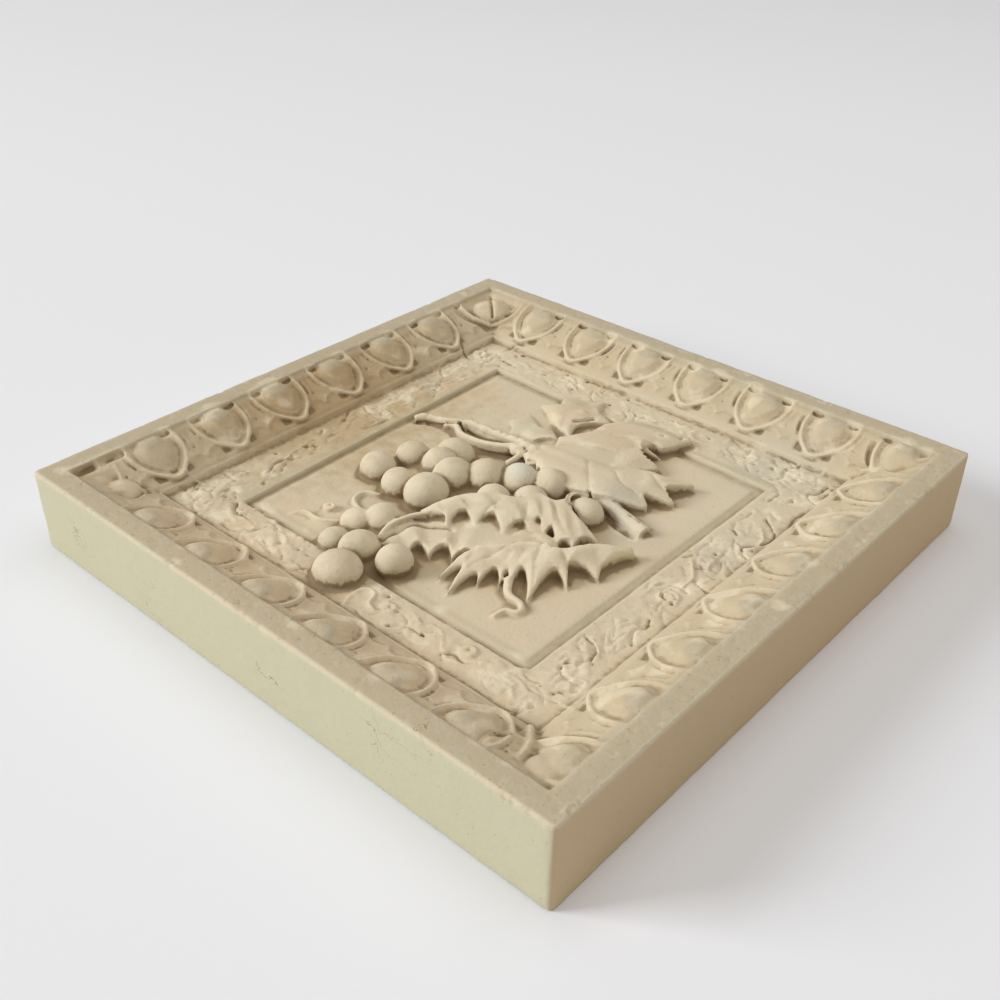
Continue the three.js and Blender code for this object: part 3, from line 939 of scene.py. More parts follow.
def press(routes, width, depth, name, smooth=True, geometry="EDGE"):
    """Presses lines (or single points) into the casting, or raises them where the depth is negative."""
    lines = draw([[(x, y, AIR) for x, y in route] for route in routes], name)
    if smooth:
        lines = smooth_line(lines, 5)
        only(lines)
        bpy.ops.object.convert(target="MESH")
        lines = bpy.context.object
    finish_with(
        lines,
        "SHRINKWRAP",
        target=plaque,
        wrap_method="PROJECT",
        use_project_z=True,
        use_negative_direction=True,
        use_positive_direction=False,
    )
    if name not in plaque.vertex_groups:
        group = plaque.vertex_groups.new(name=name)
        group.add(range(len(plaque.data.vertices)), 1.0, "REPLACE")
    finish_with(
        plaque,
        "VERTEX_WEIGHT_PROXIMITY",
        vertex_group=name,
        target=lines,
        proximity_mode="GEOMETRY",
        proximity_geometry={geometry},
        falloff_type="SMOOTH",
        min_dist=width,
        max_dist=0.0,
    )
    finish_with(
        plaque, "DISPLACE", strength=-depth, mid_level=0.0, direction="NORMAL", vertex_group=name
    )
    plaque.vertex_groups.remove(plaque.vertex_groups[name])
    bpy.data.objects.remove(lines)


PLACES = {
    "near": lambda s, d: (s, -d),
    "right": lambda s, d: (d, s),
    "far": lambda s, d: (s, d),
    "left": lambda s, d: (-d, s),
}


def routes_on(side, routes):
    """Routes given along a side and out from the middle, as routes on the plan."""
    return [[PLACES[side](s, d) for s, d in route] for route in routes]


# %% [markdown]
# The cuts of the vine band are long strokes set down one by one, side by side, in the way that the
# mould maker drew them. Each is given along its side and out from the middle, so one short table
# serves a side. Short seeded flicks fill the rest, some pressed in and some raised.

# %% Press the cuts of the vine band
NEAR_CUTS = [
    [(-90, 86), (-94, 85), (-96, 90), (-103, 94)],
    [(-99, 99), (-99, 102), (-96, 106), (-90, 108)],
    [(-58, 94), (-60, 99), (-63, 103), (-69, 106), (-74, 106)],
    [(-50, 102), (-43, 105)],
    [(-23, 102), (-27, 107), (-34, 108)],
    [(56, 103), (60, 100), (65, 101), (70, 98)],
    [(100, 101), (98, 106), (94, 109)],
    [(107, 84), (101, 91)],
    [(29, 105), (34, 101), (43, 100)],
    [(-83, 91), (-78, 96), (-70, 96)],
]
RIGHT_CUTS = [
    [(-101, 100), (-110, 97)],
    [(-84, 107), (-91, 101)],
    [(-81, 106), (-82, 101), (-80, 95), (-76, 94), (-72, 98), (-67, 100), (-61, 97), (-58, 90)],
    [(-50, 106), (-43, 102), (-38, 104), (-33, 102)],
    [(-8, 103), (-8, 94), (-13, 91)],
    [(-4, 111), (0, 101)],
    [(11, 88), (15, 90)],
    [(28, 108), (33, 103), (41, 108), (49, 109), (55, 104), (59, 99)],
    [(40, 96), (42, 93)],
    [(60, 110), (68, 108), (75, 109)],
    [(73, 92), (81, 93)],
    [(85, 109), (90, 102), (94, 105), (102, 106)],
    [(90, 83), (94, 86), (100, 84), (109, 87)],
]
FAR_CUTS = [
    [(-115, 89), (-105, 85), (-101, 88)],
    [(33, 93), (35, 85)],
    [(62, 106), (64, 98)],
    [(86, 107), (84, 102), (86, 96), (84, 90)],
    [(-90, 96), (-83, 95)],
    [(-66, 104), (-60, 106)],
]
LEFT_CUTS = [
    [(-106, 97), (-100, 99)],
    [(-95, 103), (-92, 99), (-89, 95), (-85, 93)],
    [(-80, 107), (-80, 98)],
    [(-108, 94), (-108, 90)],
    [(-40, 100), (-34, 95)],
    [(-25, 103), (-22, 105)],
    [(-9, 104), (-2, 108)],
    [(-7, 91), (-1, 89), (8, 89)],
    [(8, 107), (5, 99), (10, 93)],
    [(60, 101), (63, 106), (65, 108)],
    [(85, 93), (91, 87)],
    [(-66, 92), (-56, 97), (-46, 92)],
]
band_cuts = (
    routes_on("near", NEAR_CUTS)
    + routes_on("right", RIGHT_CUTS)
    + routes_on("far", FAR_CUTS)
    + routes_on("left", LEFT_CUTS)
)
press(band_cuts, 1.05, 1.1, "band_cuts")


def flicks(count):
    """Short curved strokes of the stick along the band, seeded."""
    step = 3.2
    routes = []
    for _ in range(count):
        side = random.choice(list(PLACES))
        s, d = random.uniform(-108, 108), random.uniform(89, 107)
        heading = random.uniform(-0.9, 0.9) + random.choice((0, math.pi))
        bend = random.uniform(-0.5, 0.5)
        route = []
        for _ in range(random.randint(3, 5)):
            spot = PLACES[side](s, min(max(d, 87.5), BAND_OUTER))
            if math.dist(spot, GRAPES[-1][:2]) < 14:  # the big grape hangs over the band here
                break
            route.append(spot)
            s += step * math.cos(heading)
            d += step * math.sin(heading)
            heading += bend
        if len(route) > 1:
            routes.append(route)
    return routes


press(flicks(170), 0.9, 0.55, "flicks")
press(flicks(60), 1.4, -0.45, "raised_flicks")
print(len(band_cuts), "cuts in the band")

# %% [markdown]
# The mould maker drilled a dot beside each dart, and air in the plaster left pits and pinholes. A
# single point is pressed in like a line, only rounder. Two rows also keep dark slots under the rim
# where the mould didn't reach.

# %% Drill the small pits
PITS = {
    "near": [(-43, 89), (-45, 98), (-35, 96), (-106, 96), (29, 105), (43, 100), (16, 92)],
    "right": [(-19, 103), (22, 97), (80, 100), (97, 92)],
    "far": [
        (-86, 108), (-53, 107), (-40, 108), (-12, 107), (-61, 98), (-41, 96), (-16, 96), (-13, 84),
        (18, 104), (41, 102), (5, 97), (70, 96), (79, 98), (28, 80),
    ],
    "left": [(-73, 87), (46, 93), (105, 88), (108, 85), (-52, 104), (30, 106)],
}


def scattered(count, low_d, high_d):
    """Seeded places on the band or the rim."""
    sides = list(PLACES)
    return [
        [PLACES[random.choice(sides)](random.uniform(-high_d, high_d), random.uniform(low_d, high_d))]
        for _ in range(count)
    ]


pits = [[PLACES[side](s, d)] for side, places in PITS.items() for s, d in places]
press(pits, 1.4, 1.8, "pits", smooth=False, geometry="VERTEX")
press(scattered(70, 87, 110), 0.95, 0.7, "pinholes", smooth=False, geometry="VERTEX")
dots = []
slots = []
for side, shift, sign in zip(PLACES, ROW_SHIFTS, (1, 1, -1, -1)):
    for i in range(EGGS_IN_A_ROW + 1):
        place = sign * shift + (i - EGGS_IN_A_ROW / 2) * PITCH
        if abs(place) < 120:
            dots.append([PLACES[side](place - 1.5, 132.5 if side == "near" else 125)])
        # the mould often left a dark slot under the rim beside an egg
        if sign < 0 and abs(place) < ROW_END:
            for start in (place - 10.5, place + 6.5):
                reach = start + random.uniform(2.5, 4.5)
                slots.append([PLACES[side](start, 136.8), PLACES[side](reach, 137.2)])
press(dots, 1.15, 1.0, "dots", smooth=False, geometry="VERTEX")
press(slots, 1.5, 1.5, "slots")
print(len(pits), "pits and", len(dots), "drilled dots")

# %% [markdown]
# Folds, veins and bark come last among the lines, since they cross forms that stand at many
# heights. Deep and wide presses make the undercuts, shallow ones the veins.

# %% Press the folds and veins of the leaves
folds = [
    # the folded lobe over the bunch
    [(-9, -73), (-9, -64), (-7, -55), (0, -50), (7, -46)],
    # the mitre over the far left egg
    [(-134, 134), (-118, 118)],
    # the dark crescent of the near right corner
    [(106, -136), (106, -130), (109, -123)],
    # the bud's edge
    [(33, 13), (31, 6), (34, 0), (40, -2)],
    # slots between the strands of the branch
    [(-56, 25.5), (-51, 24.5), (-46, 24.5)],
    [(-40, 25), (-35, 25), (-30, 26.5)],
    # the hole by the knot, and the dark hollows of the top leaf and the sprig
    [(-2, 19), (0, 16.5), (3, 16)],
    [(-16, 66), (-13, 71), (-11, 76)],
    [(-16, 44), (-13, 47), (-11, 51)],
    # the undercut of the stub
    [(33, 15.5), (45, 12.5), (57, 9.6), (63, 9)],
]
press(folds, 1.5, 1.8, "folds")
pocket = [[(-136.8, -136), (-136.8, -128)], [(-136.8, -123), (-136.8, -114)]]
press(pocket, 3.0, 2.8, "pocket")
bark = [(-78, 16), (-70, 20.5), (-62, 22.5), (-55, 26)]
bark_hollows = [[(x, y - 0.6) for x, y in bark], [(-52, 26.5), (-40, 27), (-28, 28.5)]]
press(bark_hollows, 1.4, 1.4, "bark_hollows")
notches = []
for i in range(10):
    x = -75 + i * 5.8 + random.uniform(-2, 2)
    y = 17 + 14 * min(1, (x + 79) / 27) ** 0.8
    notches.append([(x - 0.7, y + 1.8), (x + random.uniform(0, 1.2), y - 1.2)])
press(notches, 0.9, 0.5, "bark_notches")
stub_pits = [[(49, 19.5)], [(56, 16.5)], [(61, 16)], [(-13, 24.5)]]
press(stub_pits, 1.3, 1.6, "stub_pits", smooth=False, geometry="VERTEX")
veins = [
    [(-2, 40), (8, 46), (20, 50)],
    [(10, 62), (18, 66), (30, 72)],
    [(18, 34), (26, 24), (32, 17)],
    [(33, 35), (40, 30), (50, 30)],
    [(46, 46), (53, 42), (61, 41)],
    [(38, -26), (34, -45), (30, -60)],
    [(44, -27), (48, -38), (56, -50)],
    [(46, -25), (56, -30), (64, -36)],
    [(12, -20), (12, -30), (13, -36)],
    [(22, -14), (27, -22), (28, -32)],
    [(30, -6), (38, -12), (47, -17)],
]
press(veins, 1.3, 0.5, "veins")
print(len(folds), "folds,", len(notches), "notches in the bark and", len(veins), "veins")

# %% [markdown]
# ## The hand-made surface
# Cast plaster is never true. The faces wander by a few tenths of a millimetre, the band is crumbly
# where the mould tore, and the edges are dented. Three Displace modifiers with cloud textures give
# the scales, and single points pressed at the rim give the dents. Then Decimate brings the skin
# under the limit and keeps the triangles where it curves. It makes large triangles on the level
# parts, so the heights that the painted shade and the dirt need later are laid out on a grid
# before it.

# %% Roughen the skin and thin it out
def clouds(name, size, depth):
    """A cloud texture of a size in millimetres."""
    texture = bpy.data.textures.new(name, "CLOUDS")
    texture.noise_scale = size
    texture.noise_depth = depth
    return texture


GRID = 0.6  # the cell of the height grid, as fine as the skin


def points_of(thing):
    """All points of a mesh as an array."""
    co = np.zeros(len(thing.data.vertices) * 3, np.float32)
    thing.data.vertices.foreach_get("co", co)
    return co.reshape(-1, 3).astype(float)


def cells_of(co):
    """The grid cell of each point, for points in millimetres."""
    last = int(SIDE / GRID)
    return tuple(np.clip((co[:, k] + SIDE / 2) / GRID, 0, last).astype(int) for k in (0, 1))


def lay_out_heights(thing):
    """The top height of the casting on a square grid, with empty cells filled from their sides."""
    co = points_of(thing)
    heights = np.full((int(SIDE / GRID) + 1,) * 2, -1.0)
    np.maximum.at(heights, cells_of(co), co[:, 2])
    while (heights < 0).any():
        sides = [np.roll(heights, step, axis) for step in (-1, 1) for axis in (0, 1)]
        heights = np.where(heights < 0, np.maximum.reduce(sides), heights)
    return heights


def wear_edges():
    """Rounds the outer edges of the rim and dents them here and there."""
    worn = plaque.vertex_groups.new(name="worn")
    edge_points = [
        v.index
        for v in plaque.data.vertices
        if max(abs(v.co.x), abs(v.co.y)) > SIDE / 2 - 2 and not 2 < v.co.z < DEPTH - 2
    ]
    worn.add(edge_points, 1.0, "REPLACE")
    finish_with(plaque, "SMOOTH", factor=0.6, iterations=9, vertex_group="worn")
    dents = []
    for side in PLACES:
        for _ in range(10 if side in ("near", "right") else 3):
            dents.append([PLACES[side](random.uniform(-147, 147), random.uniform(148.8, 149.8))])
    press(dents, 2.0, 0.5, "dents", smooth=False, geometry="VERTEX")
    press(scattered(110, 139.5, 148), 1.1, 0.5, "rim_pits", smooth=False, geometry="VERTEX")
    return len(edge_points)


print("points on the worn edges:", wear_edges())
crumbly = plaque.vertex_groups.new(name="crumbly")
band_points = [
    v.index
    for v in plaque.data.vertices
    if 88 < max(abs(v.co.x), abs(v.co.y)) < 110 and 20 < v.co.z < 28
]
crumbly.add(band_points, 1.0, "REPLACE")
for name, size, depth, strength, group in (
    ("crumbs", 2.6, 4, 0.7, "crumbly"),
    ("slow_wander", 22, 2, 0.5, ""),
    ("trowel", 4.5, 2, 0.3, ""),
):
    finish_with(
        plaque,
        "DISPLACE",
        texture=clouds(name, size, depth),
        strength=strength,
        mid_level=0.5,
        texture_coords="LOCAL",
        vertex_group=group,
    )

ground = lay_out_heights(plaque)
TRIANGLES = 190_000
triangles_now = sum(len(p.vertices) - 2 for p in plaque.data.polygons)
finish_with(plaque, "DECIMATE", ratio=TRIANGLES / triangles_now)
plaque.scale = (MM, MM, MM)
freeze(plaque)
bpy.ops.object.shade_smooth()
print("thinned from", triangles_now, "to", len(plaque.data.polygons), "triangles")

# %% [markdown]
# ## Dirt and painted shade in the hollows
# Dust and old wax settle where a cloth can't reach, and the crests are rubbed pale. The hollows are
# also where less light reaches, so their darkening is painted shade as well as dirt. Blender's own
# Dirty Vertex Colors looks only at the next points of the mesh, so it can't tell a whole hollow
# moulding from a level panel. Here each point is set against the heights laid out above, blurred
# as far as a cloth would bridge. A point under the blurred ground lies in a hollow, and one above
# it is a crest. The answer stays on the mesh as a colour attribute.

# %% Measure the hollows
def blurred(heights, reach):
    """The height grid, softened over a reach given in cells."""
    pad = int(3 * reach)
    wide = np.pad(heights, pad, mode="edge")
    fx = np.fft.fftfreq(wide.shape[0])[:, None]
    fy = np.fft.rfftfreq(wide.shape[1])[None, :]
    kept = np.exp(-2 * (math.pi * reach) ** 2 * (fx**2 + fy**2))
    soft = np.fft.irfft2(np.fft.rfft2(wide) * kept, wide.shape)
    return soft[pad:-pad, pad:-pad]


def shade_and_soil(thing, heights):
    """Red: how far a point lies under its near surroundings. Green: the same, wide. Blue: crests."""
    co = points_of(thing) / MM
    z = co[:, 2]
    cells = cells_of(co)
    near, wide = (blurred(heights, reach / GRID)[cells] for reach in (1.8, 6.5))
    out = np.abs(co[:, :2]).max(1)
    on_face = (z > 18) & (out < SIDE / 2 - 2.8)
    low_near = np.clip((near - z) / 1.2, 0, 1) * on_face
    low_wide = np.clip((wide - z) / 5.0, 0, 1) * on_face
    crest = np.clip((z - near) / 0.8, 0, 1) * on_face
    worn_edge = np.clip((out - SIDE / 2 + 2.2) / 1.4, 0, 1) * np.clip((z - DEPTH + 2.2) / 1.4, 0, 1)
    layers = [low_near, low_wide, np.maximum(crest, worn_edge), np.ones(len(co))]
    layer = thing.data.color_attributes.new("hollows", "FLOAT_COLOR", "POINT")
    layer.data.foreach_set("color", np.column_stack(layers).astype(np.float32).ravel())
    return [float(part.mean()) for part in layers[:3]]


print("mean hollow, wide hollow and crest:", [round(v, 3) for v in shade_and_soil(plaque, ground)])

# %% [markdown]
# ## The stone finish
# The casting is buff plaster with a matt skin: fine grain, slow clouds of warmer and greyer tone,
# brown dirt and painted shade in the hollows, pale rubbed crests, grey specks on the rim, and a few
# stains, beside painted shade and painted light on some faces and rows. Effects that could serve
# other finishes are node groups that give only masks and values, and the shader with its fixed
# numbers stays in the material.

# %% Tools for building node trees
def node(tree, kind, inputs=None, **settings):
    """Adds a node, and feeds its inputs with fixed values or with the outputs of other nodes."""
    made = tree.nodes.new(kind)
    for name, value in settings.items():
        setattr(made, name, value)
    for name, value in (inputs or {}).items():
        if isinstance(value, bpy.types.NodeSocket):
            tree.links.new(value, made.inputs[name])
        else:
            made.inputs[name].default_value = value
    return made


def maths(tree, operation, *values, clamp=False):
    """The answer of one Math node."""
    step = node(tree, "ShaderNodeMath", dict(enumerate(values)), operation=operation, use_clamp=clamp)
    return step.outputs[0]


def span(tree, value, start, end):
    """A smooth mask that goes from 0 at start to 1 at end."""
    inputs = {"From Min": start, "From Max": end, "Value": value}
    return node(tree, "ShaderNodeMapRange", inputs, interpolation_type="SMOOTHSTEP").outputs["Result"]


def product(tree, a, b):
    return maths(tree, "MULTIPLY", a, b)


def new_mask(name, sockets):
    """An empty group that turns a place and a few values into one mask."""
    group = bpy.data.node_groups.new(name, "ShaderNodeTree")
    for label, value in {"Place": None, **sockets}.items():
        kind = "NodeSocketVector" if value is None else "NodeSocketFloat"
        socket = group.interface.new_socket(name=label, in_out="INPUT", socket_type=kind)
        if value is not None:
            socket.default_value = value
    group.interface.new_socket(name="Mask", in_out="OUTPUT", socket_type="NodeSocketFloat")
    given = group.nodes.new("NodeGroupInput").outputs
    return group, given, group.nodes.new("NodeGroupOutput").inputs["Mask"]


# %% Groups for clouds, specks, round patches and fine lines
def cloud_group():
    """A cloudy value from 0 to 1, of a size in metres."""
    group, given, mask = new_mask("cloud mask", {"Size": 0.01, "Low": 0.4, "High": 0.6})
    scale = maths(group, "DIVIDE", 1.0, given["Size"])
    inputs = {"Detail": 5, "Vector": given["Place"], "Scale": scale}
    noise = node(group, "ShaderNodeTexNoise", inputs).outputs["Fac"]
    group.links.new(span(group, noise, given["Low"], given["High"]), mask)
    return group


def speck_group():
    """Small separate dots: 1 on a speck and 0 off it."""
    group, given, mask = new_mask("speck mask", {"Spacing": 0.004, "Share": 0.15})
    scale = maths(group, "DIVIDE", 1.0, given["Spacing"])
    cells = node(group, "ShaderNodeTexVoronoi", {"Vector": given["Place"], "Scale": scale})
    group.links.new(span(group, cells.outputs["Distance"], given["Share"], 0.02), mask)
    return group


def round_patch_group():
    """A soft round patch with a ragged edge round a centre, in metres."""
    group, given, mask = new_mask("stain mask", {"Centre": None, "Radius": 0.01})
    ends = {0: given["Place"], 1: given["Centre"]}
    away = node(group, "ShaderNodeVectorMath", ends, operation="DISTANCE").outputs["Value"]
    inputs = {"Scale": 160, "Detail": 4, "Vector": given["Place"]}
    noise = node(group, "ShaderNodeTexNoise", inputs).outputs["Fac"]
    ragged = maths(group, "ADD", maths(group, "DIVIDE", away, given["Radius"]), noise)
    group.links.new(span(group, ragged, 1.5, 0.7), mask)
    return group


def hairline_group():
    """Thin wandering lines: 1 where a cloudy value passes its middle, and 0 off it."""
    group, given, mask = new_mask("hairline mask", {"Size": 0.01, "Width": 0.01})
    scale = maths(group, "DIVIDE", 1.0, given["Size"])
    inputs = {"Detail": 4, "Roughness": 0.6, "Vector": given["Place"], "Scale": scale}
    noise = node(group, "ShaderNodeTexNoise", inputs).outputs["Fac"]
    off = maths(group, "ABSOLUTE", maths(group, "SUBTRACT", noise, 0.5))
    group.links.new(span(group, off, given["Width"], 0.0), mask)
    return group


CLOUD_MASK = cloud_group()
HAIRLINE_MASK = hairline_group()
SPECK_MASK = speck_group()
ROUND_PATCH_MASK = round_patch_group()
print("mask groups:", [group.name for group in bpy.data.node_groups])

# %% [markdown]
# ## The colours of the stone
# All tones of the casting are written down here once. The buff of the plaster is the ground. The
# outer faces are creamier, and the right face, which stands in shade, gets a warmer colour: painted
# shade. The groove round the panel is coloured darker and greener: painted shade. The rim is
# greyer from handling, and the moulding is the darkest part, since it is hard to wipe. The stains
# and cracks are set out one by one where this casting has them, except three patches: a brown one
# on the left row is painted shade, and two paler ones on the near row are painted light.

# %% Name the colours, the stains and patches of painted shade and light, and the cracks
BUFF = (0.635, 0.555, 0.40)
CREAM_SIDE = (0.60, 0.565, 0.40)
# painted shade: the warm tone of the right face, which stands in shade
RIGHT_FACE_WARM_SHADE = (0.66, 0.495, 0.30)
RIM_BUFF = (0.47, 0.405, 0.285)
# real dirt and specks, and also painted shade where it darkens the small hollows
DIRT_AND_SHADE = (0.235, 0.17, 0.095)
# painted shade and brown dirt in the wide hollows
BROWN_SHADE_AND_DIRT = (0.44, 0.32, 0.175)
MOULDING_BUFF = (0.50, 0.40, 0.255)
RUBBED = (0.78, 0.70, 0.53)
GREY = (0.50, 0.475, 0.385)
# painted shade: the groove round the panel, darker and greener
GROOVE_SHADE_GREEN = (0.47, 0.42, 0.285)
WARM = (0.62, 0.46, 0.30)
STAINS_AND_PAINTED_LIGHT = [
    # x, y, radius in mm, colour, strength
    (50, 17, 22, (0.50, 0.485, 0.43), 0.5),
    (-32, 49, 17, (0.52, 0.50, 0.38), 0.35),
    (2, 4, 11, (0.66, 0.655, 0.565), 0.8),
    (-22, -96, 26, (0.44, 0.42, 0.36), 0.5),
    (-88, -86, 26, (0.42, 0.36, 0.26), 0.4),
    (-19, 76, 26, (0.60, 0.46, 0.31), 0.45),
    (18, 66, 24, (0.60, 0.46, 0.31), 0.4),
    (71, -8, 9, (0.46, 0.44, 0.19), 0.7),
    (80, 97, 40, (0.50, 0.475, 0.385), 0.45),
    (96, 30, 34, (0.56, 0.52, 0.42), 0.35),
    # painted shade: a brown patch over the left row and its band, whose slopes face away from the window
    (-124, -5, 105, (0.42, 0.295, 0.15), 0.7),
    (-82, 60, 26, (0.58, 0.43, 0.27), 0.45),
    # painted light: two paler patches over the near row and its band, whose slopes face away from the
    # window
    (-40, -127, 80, (0.70, 0.54, 0.36), 0.5),
    (60, -127, 60, (0.70, 0.55, 0.38), 0.45),
]
CRACKS = [
    # x, z, radius in mm, on the front face
    (-62, 12, 16), (74, 27, 18), (88, 36, 16), (10, 18, 14), (-118, 22, 16),
]
print(len(STAINS_AND_PAINTED_LIGHT), "stains and", len(CRACKS), "cracks")

# %% [markdown]
# ## Coat upon coat
# A finisher washes, wipes and rubs a casting in turns, and each turn shows only where its mask
# lets it. The material does the same: it starts from the ground colour and lays each tone over the
# last through a mask. The zones of the casting are told apart by how far a point lies from the
# middle and which way it faces, so the colours stay true however the piece is remeshed.

# %% Lay the coats and mix the stone
class Coat:
    """Builds up one colour, layer by layer, each put on through a mask."""

    def __init__(self, tree, ground):
        self.tree = tree
        self.colour = node(tree, "ShaderNodeRGB").outputs[0]
        self.colour.default_value = (*ground, 1)

    def layer(self, colour, mask, strength):
        gain = maths(self.tree, "MULTIPLY", mask, strength, clamp=True)
        inputs = {"Factor": gain, "A": self.colour, "B": (*colour, 1)}
        self.colour = node(self.tree, "ShaderNodeMix", inputs, data_type="RGBA").outputs["Result"]


def masked(tree, group, place, **values):
    """One of the mask groups, at a place."""
    return node(tree, "ShaderNodeGroup", {"Place": place, **values}, node_tree=group).outputs["Mask"]


def zones_of(tree, place):
    """Masks of the zones, by height, distance from the middle in metres, and the way they face."""
    at = node(tree, "ShaderNodeSeparateXYZ", {0: place}).outputs
    normal = node(tree, "ShaderNodeNewGeometry").outputs["True Normal"]
    facing = node(tree, "ShaderNodeSeparateXYZ", {0: normal}).outputs
    reach = maths(tree, "MAXIMUM", maths(tree, "ABSOLUTE", at["X"]), maths(tree, "ABSOLUTE", at["Y"]))
    zones = {
        "rim": product(tree, span(tree, at["Z"], 0.0375, 0.0388), span(tree, facing["Z"], 0.4, 0.8)),
        "outer": product(tree, span(tree, facing["Z"], 0.35, 0.1), span(tree, reach, 0.1465, 0.1485)),
        "band": product(tree, span(tree, reach, 0.111, 0.109), span(tree, reach, 0.085, 0.088)),
        "groove": product(tree, span(tree, reach, 0.0875, 0.086), span(tree, reach, 0.0795, 0.082)),
    }
    zones["right"] = product(tree, zones["outer"], span(tree, facing["X"], 0.3, 0.7))
    zones["carved"] = maths(tree, "SUBTRACT", 1.0, zones["outer"], clamp=True)
    zones["moulding"] = product(tree, span(tree, reach, 0.107, 0.118), zones["carved"])
    return zones


def paint_ground(coat, tree, place, zones):
    """The plaster's own tones, zone by zone, with painted shade on the right face and in the groove, and
    stains among which are patches of painted shade and light.
    """
    coat.layer(WARM, masked(tree, CLOUD_MASK, place, Size=0.045, Low=0.45, High=0.68), 0.3)
    coat.layer(GREY, masked(tree, CLOUD_MASK, place, Size=0.03, Low=0.52, High=0.7), 0.3)
    coat.layer(CREAM_SIDE, zones["outer"], 0.9)
    # painted shade: the right face, which stands in shade, is coloured warmer
    coat.layer(RIGHT_FACE_WARM_SHADE, zones["right"], 0.85)
    coat.layer(MOULDING_BUFF, zones["moulding"], 0.6)
    plan = {0: place, 1: (1, 1, 0)}
    flat = node(tree, "ShaderNodeVectorMath", plan, operation="MULTIPLY").outputs[0]
    # stains, and three patches that are painted shade and painted light on the moulding
    for x, y, radius, colour, strength in STAINS_AND_PAINTED_LIGHT:
        round_patch = masked(tree, ROUND_PATCH_MASK, flat, Centre=(x * MM, y * MM, 0), Radius=radius * MM)
        coat.layer(colour, product(tree, round_patch, zones["carved"]), strength)
    coat.layer(RIM_BUFF, zones["rim"], 0.8)
    # painted shade: the groove is coloured darker and greener
    coat.layer(GROOVE_SHADE_GREEN, zones["groove"], 0.5)


def paint_age_and_shade(coat, tree, place, zones):
    """Dirt and painted shade in the hollows, rubbed crests, specks and fine cracks."""
    stored = node(tree, "ShaderNodeVertexColor", layer_name="hollows").outputs["Color"]
    hollows = node(tree, "ShaderNodeSeparateColor", {0: stored}).outputs
    # painted shade and brown dirt: the wide hollows are coloured browner and darker
    coat.layer(BROWN_SHADE_AND_DIRT, span(tree, hollows["Green"], 0.05, 0.75), 0.75)
    # dirt and painted shade: the small hollows are coloured darker
    coat.layer(DIRT_AND_SHADE, span(tree, hollows["Red"], 0.1, 0.8), 0.85)
    coat.layer(RUBBED, span(tree, hollows["Blue"], 0.15, 1.1), 0.5)
    coat.layer(DIRT_AND_SHADE, masked(tree, SPECK_MASK, place, Spacing=0.0045, Share=0.13), 0.35)
    rim_specks = masked(tree, SPECK_MASK, place, Spacing=0.0026, Share=0.24)
    coat.layer(DIRT_AND_SHADE, product(tree, rim_specks, zones["rim"]), 0.5)
    rim_clouds = masked(tree, CLOUD_MASK, place, Size=0.004, Low=0.5, High=0.7)
    coat.layer(GREY, product(tree, rim_clouds, zones["rim"]), 0.5)
    fine_lines = masked(tree, HAIRLINE_MASK, place, Size=0.012, Width=0.012)
    patches = masked(tree, CLOUD_MASK, place, Size=0.012, Low=0.47, High=0.56)
    coat.layer(DIRT_AND_SHADE, product(tree, fine_lines, product(tree, zones["band"], patches)), 0.45)
    crack = masked(tree, HAIRLINE_MASK, place, Size=0.03, Width=0.004)
    for x, z, radius in CRACKS:
        centre = (x * MM, low.y, z * MM)
        spot = masked(tree, ROUND_PATCH_MASK, place, Centre=centre, Radius=radius * MM)
        coat.layer(DIRT_AND_SHADE, product(tree, crack, spot), 0.8)


def mix_stone():
    """The whole finish: the coats, a fine grain in relief, and a matt surface."""
    stone = bpy.data.materials.new("cast_stone")
    stone.use_nodes = True
    tree = stone.node_tree
    shader = tree.nodes["Principled BSDF"].inputs
    place = node(tree, "ShaderNodeTexCoord").outputs["Object"]
    zones = zones_of(tree, place)
    coat = Coat(tree, BUFF)
    paint_ground(coat, tree, place, zones)
    paint_age_and_shade(coat, tree, place, zones)
    tree.links.new(coat.colour, shader["Base Color"])

    grain = {"Scale": 650, "Detail": 4, "Vector": place}
    fine = node(tree, "ShaderNodeTexNoise", grain).outputs["Fac"]
    bump = node(tree, "ShaderNodeBump", {"Strength": 0.5, "Distance": 0.0004, "Height": fine})
    tree.links.new(bump.outputs["Normal"], shader["Normal"])
    matt = node(tree, "ShaderNodeMapRange", {"To Min": 0.72, "To Max": 0.92, "Value": fine})
    tree.links.new(matt.outputs["Result"], shader["Roughness"])
    shader["Specular IOR Level"].default_value = 0.3
    return stone


plaque.data.materials.clear()
plaque.data.materials.append(mix_stone())
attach(plaque, "root")
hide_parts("plaque")
print("stone mixed from", len(plaque.data.materials[0].node_tree.nodes), "nodes")

# %% [markdown]
# ## The table, the window light and the camera
# The plaque lies on its back on a pale table by a window at its near left. A large soft area light
# stands for the window, a broad weak one for the ceiling, and a warm world for the walls. A sun
# would be simpler, but its hard shadows would hide the low relief.

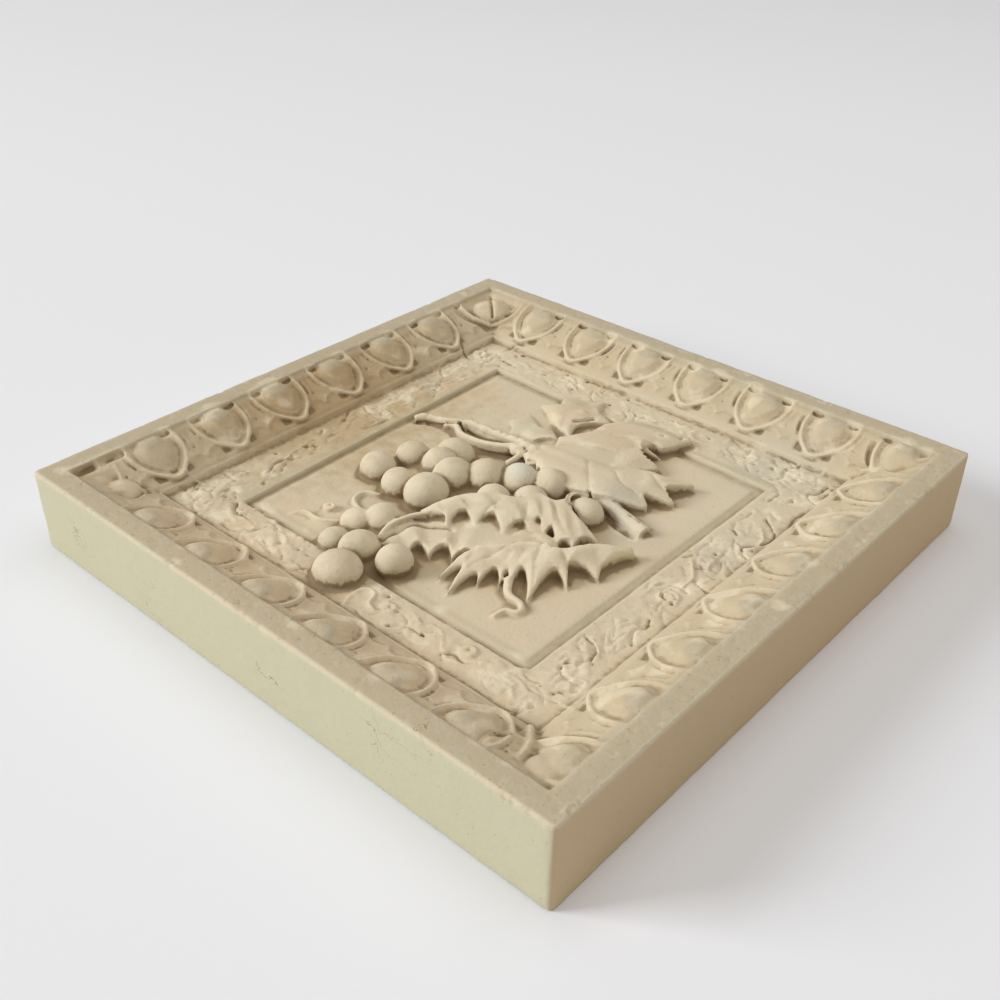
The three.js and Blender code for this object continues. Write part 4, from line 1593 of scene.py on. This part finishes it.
# %% Set the stage
def make_table():
    bpy.ops.mesh.primitive_plane_add(size=6, location=(0, 0, 0))
    table = freeze(bpy.context.object)
    table.name = "table"
    paper = bpy.data.materials.new("pale_table")
    paper.use_nodes = True
    shader = paper.node_tree.nodes["Principled BSDF"]
    shader.inputs["Base Color"].default_value = (0.80, 0.82, 0.87, 1)
    shader.inputs["Roughness"].default_value = 0.75
    table.data.materials.append(paper)
    return table


def area_light(name, place, target, size, power, colour):
    bpy.ops.object.light_add(type="AREA", location=place)
    lamp = bpy.context.object
    lamp.name = name
    lamp.data.size = size
    lamp.data.energy = power
    lamp.data.color = colour
    lamp.rotation_euler = (Vector(target) - Vector(place)).to_track_quat("-Z", "Y").to_euler()
    return lamp


make_table()
area_light("window", (-4.4, -4.2, 3.0), (0, 0, 0), 2.6, 365, (0.97, 0.99, 1.0))
area_light("ceiling", (0.4, 0.4, 2.8), (0.1, 0.1, 0), 3.4, 50, (1.0, 0.97, 0.93))
world = bpy.data.worlds.new("room")
world.use_nodes = True
world.node_tree.nodes["Background"].inputs["Color"].default_value = (1.0, 0.91, 0.79, 1)
world.node_tree.nodes["Background"].inputs["Strength"].default_value = 0.25
bpy.context.scene.world = world

# %% [markdown]
# The camera is a plain one, set by its place, the way it looks and its roll. It stands off the
# near corner and about a side of the plaque above the table, and looks down by a third of a right
# angle, with the slight tilt of a hand that holds it. Its place is given in sides of the plaque.

# %% Place the camera
EYE = Vector((0.99, -1.145, 1.061)) * SIDE * MM
GAZE = Vector((-0.5527, 0.6260, -0.5501))
ROLL = math.radians(0.74)
bpy.ops.object.camera_add(location=EYE)
camera = bpy.context.object
camera.rotation_euler = (GAZE.to_track_quat("-Z", "Y") @ Quaternion((0, 0, 1), ROLL)).to_euler()
camera.data.lens = 42.5
camera.data.sensor_width = 36
camera.data.clip_start = 0.01
only(camera)
bpy.context.scene.camera = camera
bpy.context.scene.view_settings.view_transform = "Standard"
print("camera", [round(v / MM) for v in EYE], "mm, lens", camera.data.lens)

# %% Finish
bpy.context.view_layer.update()
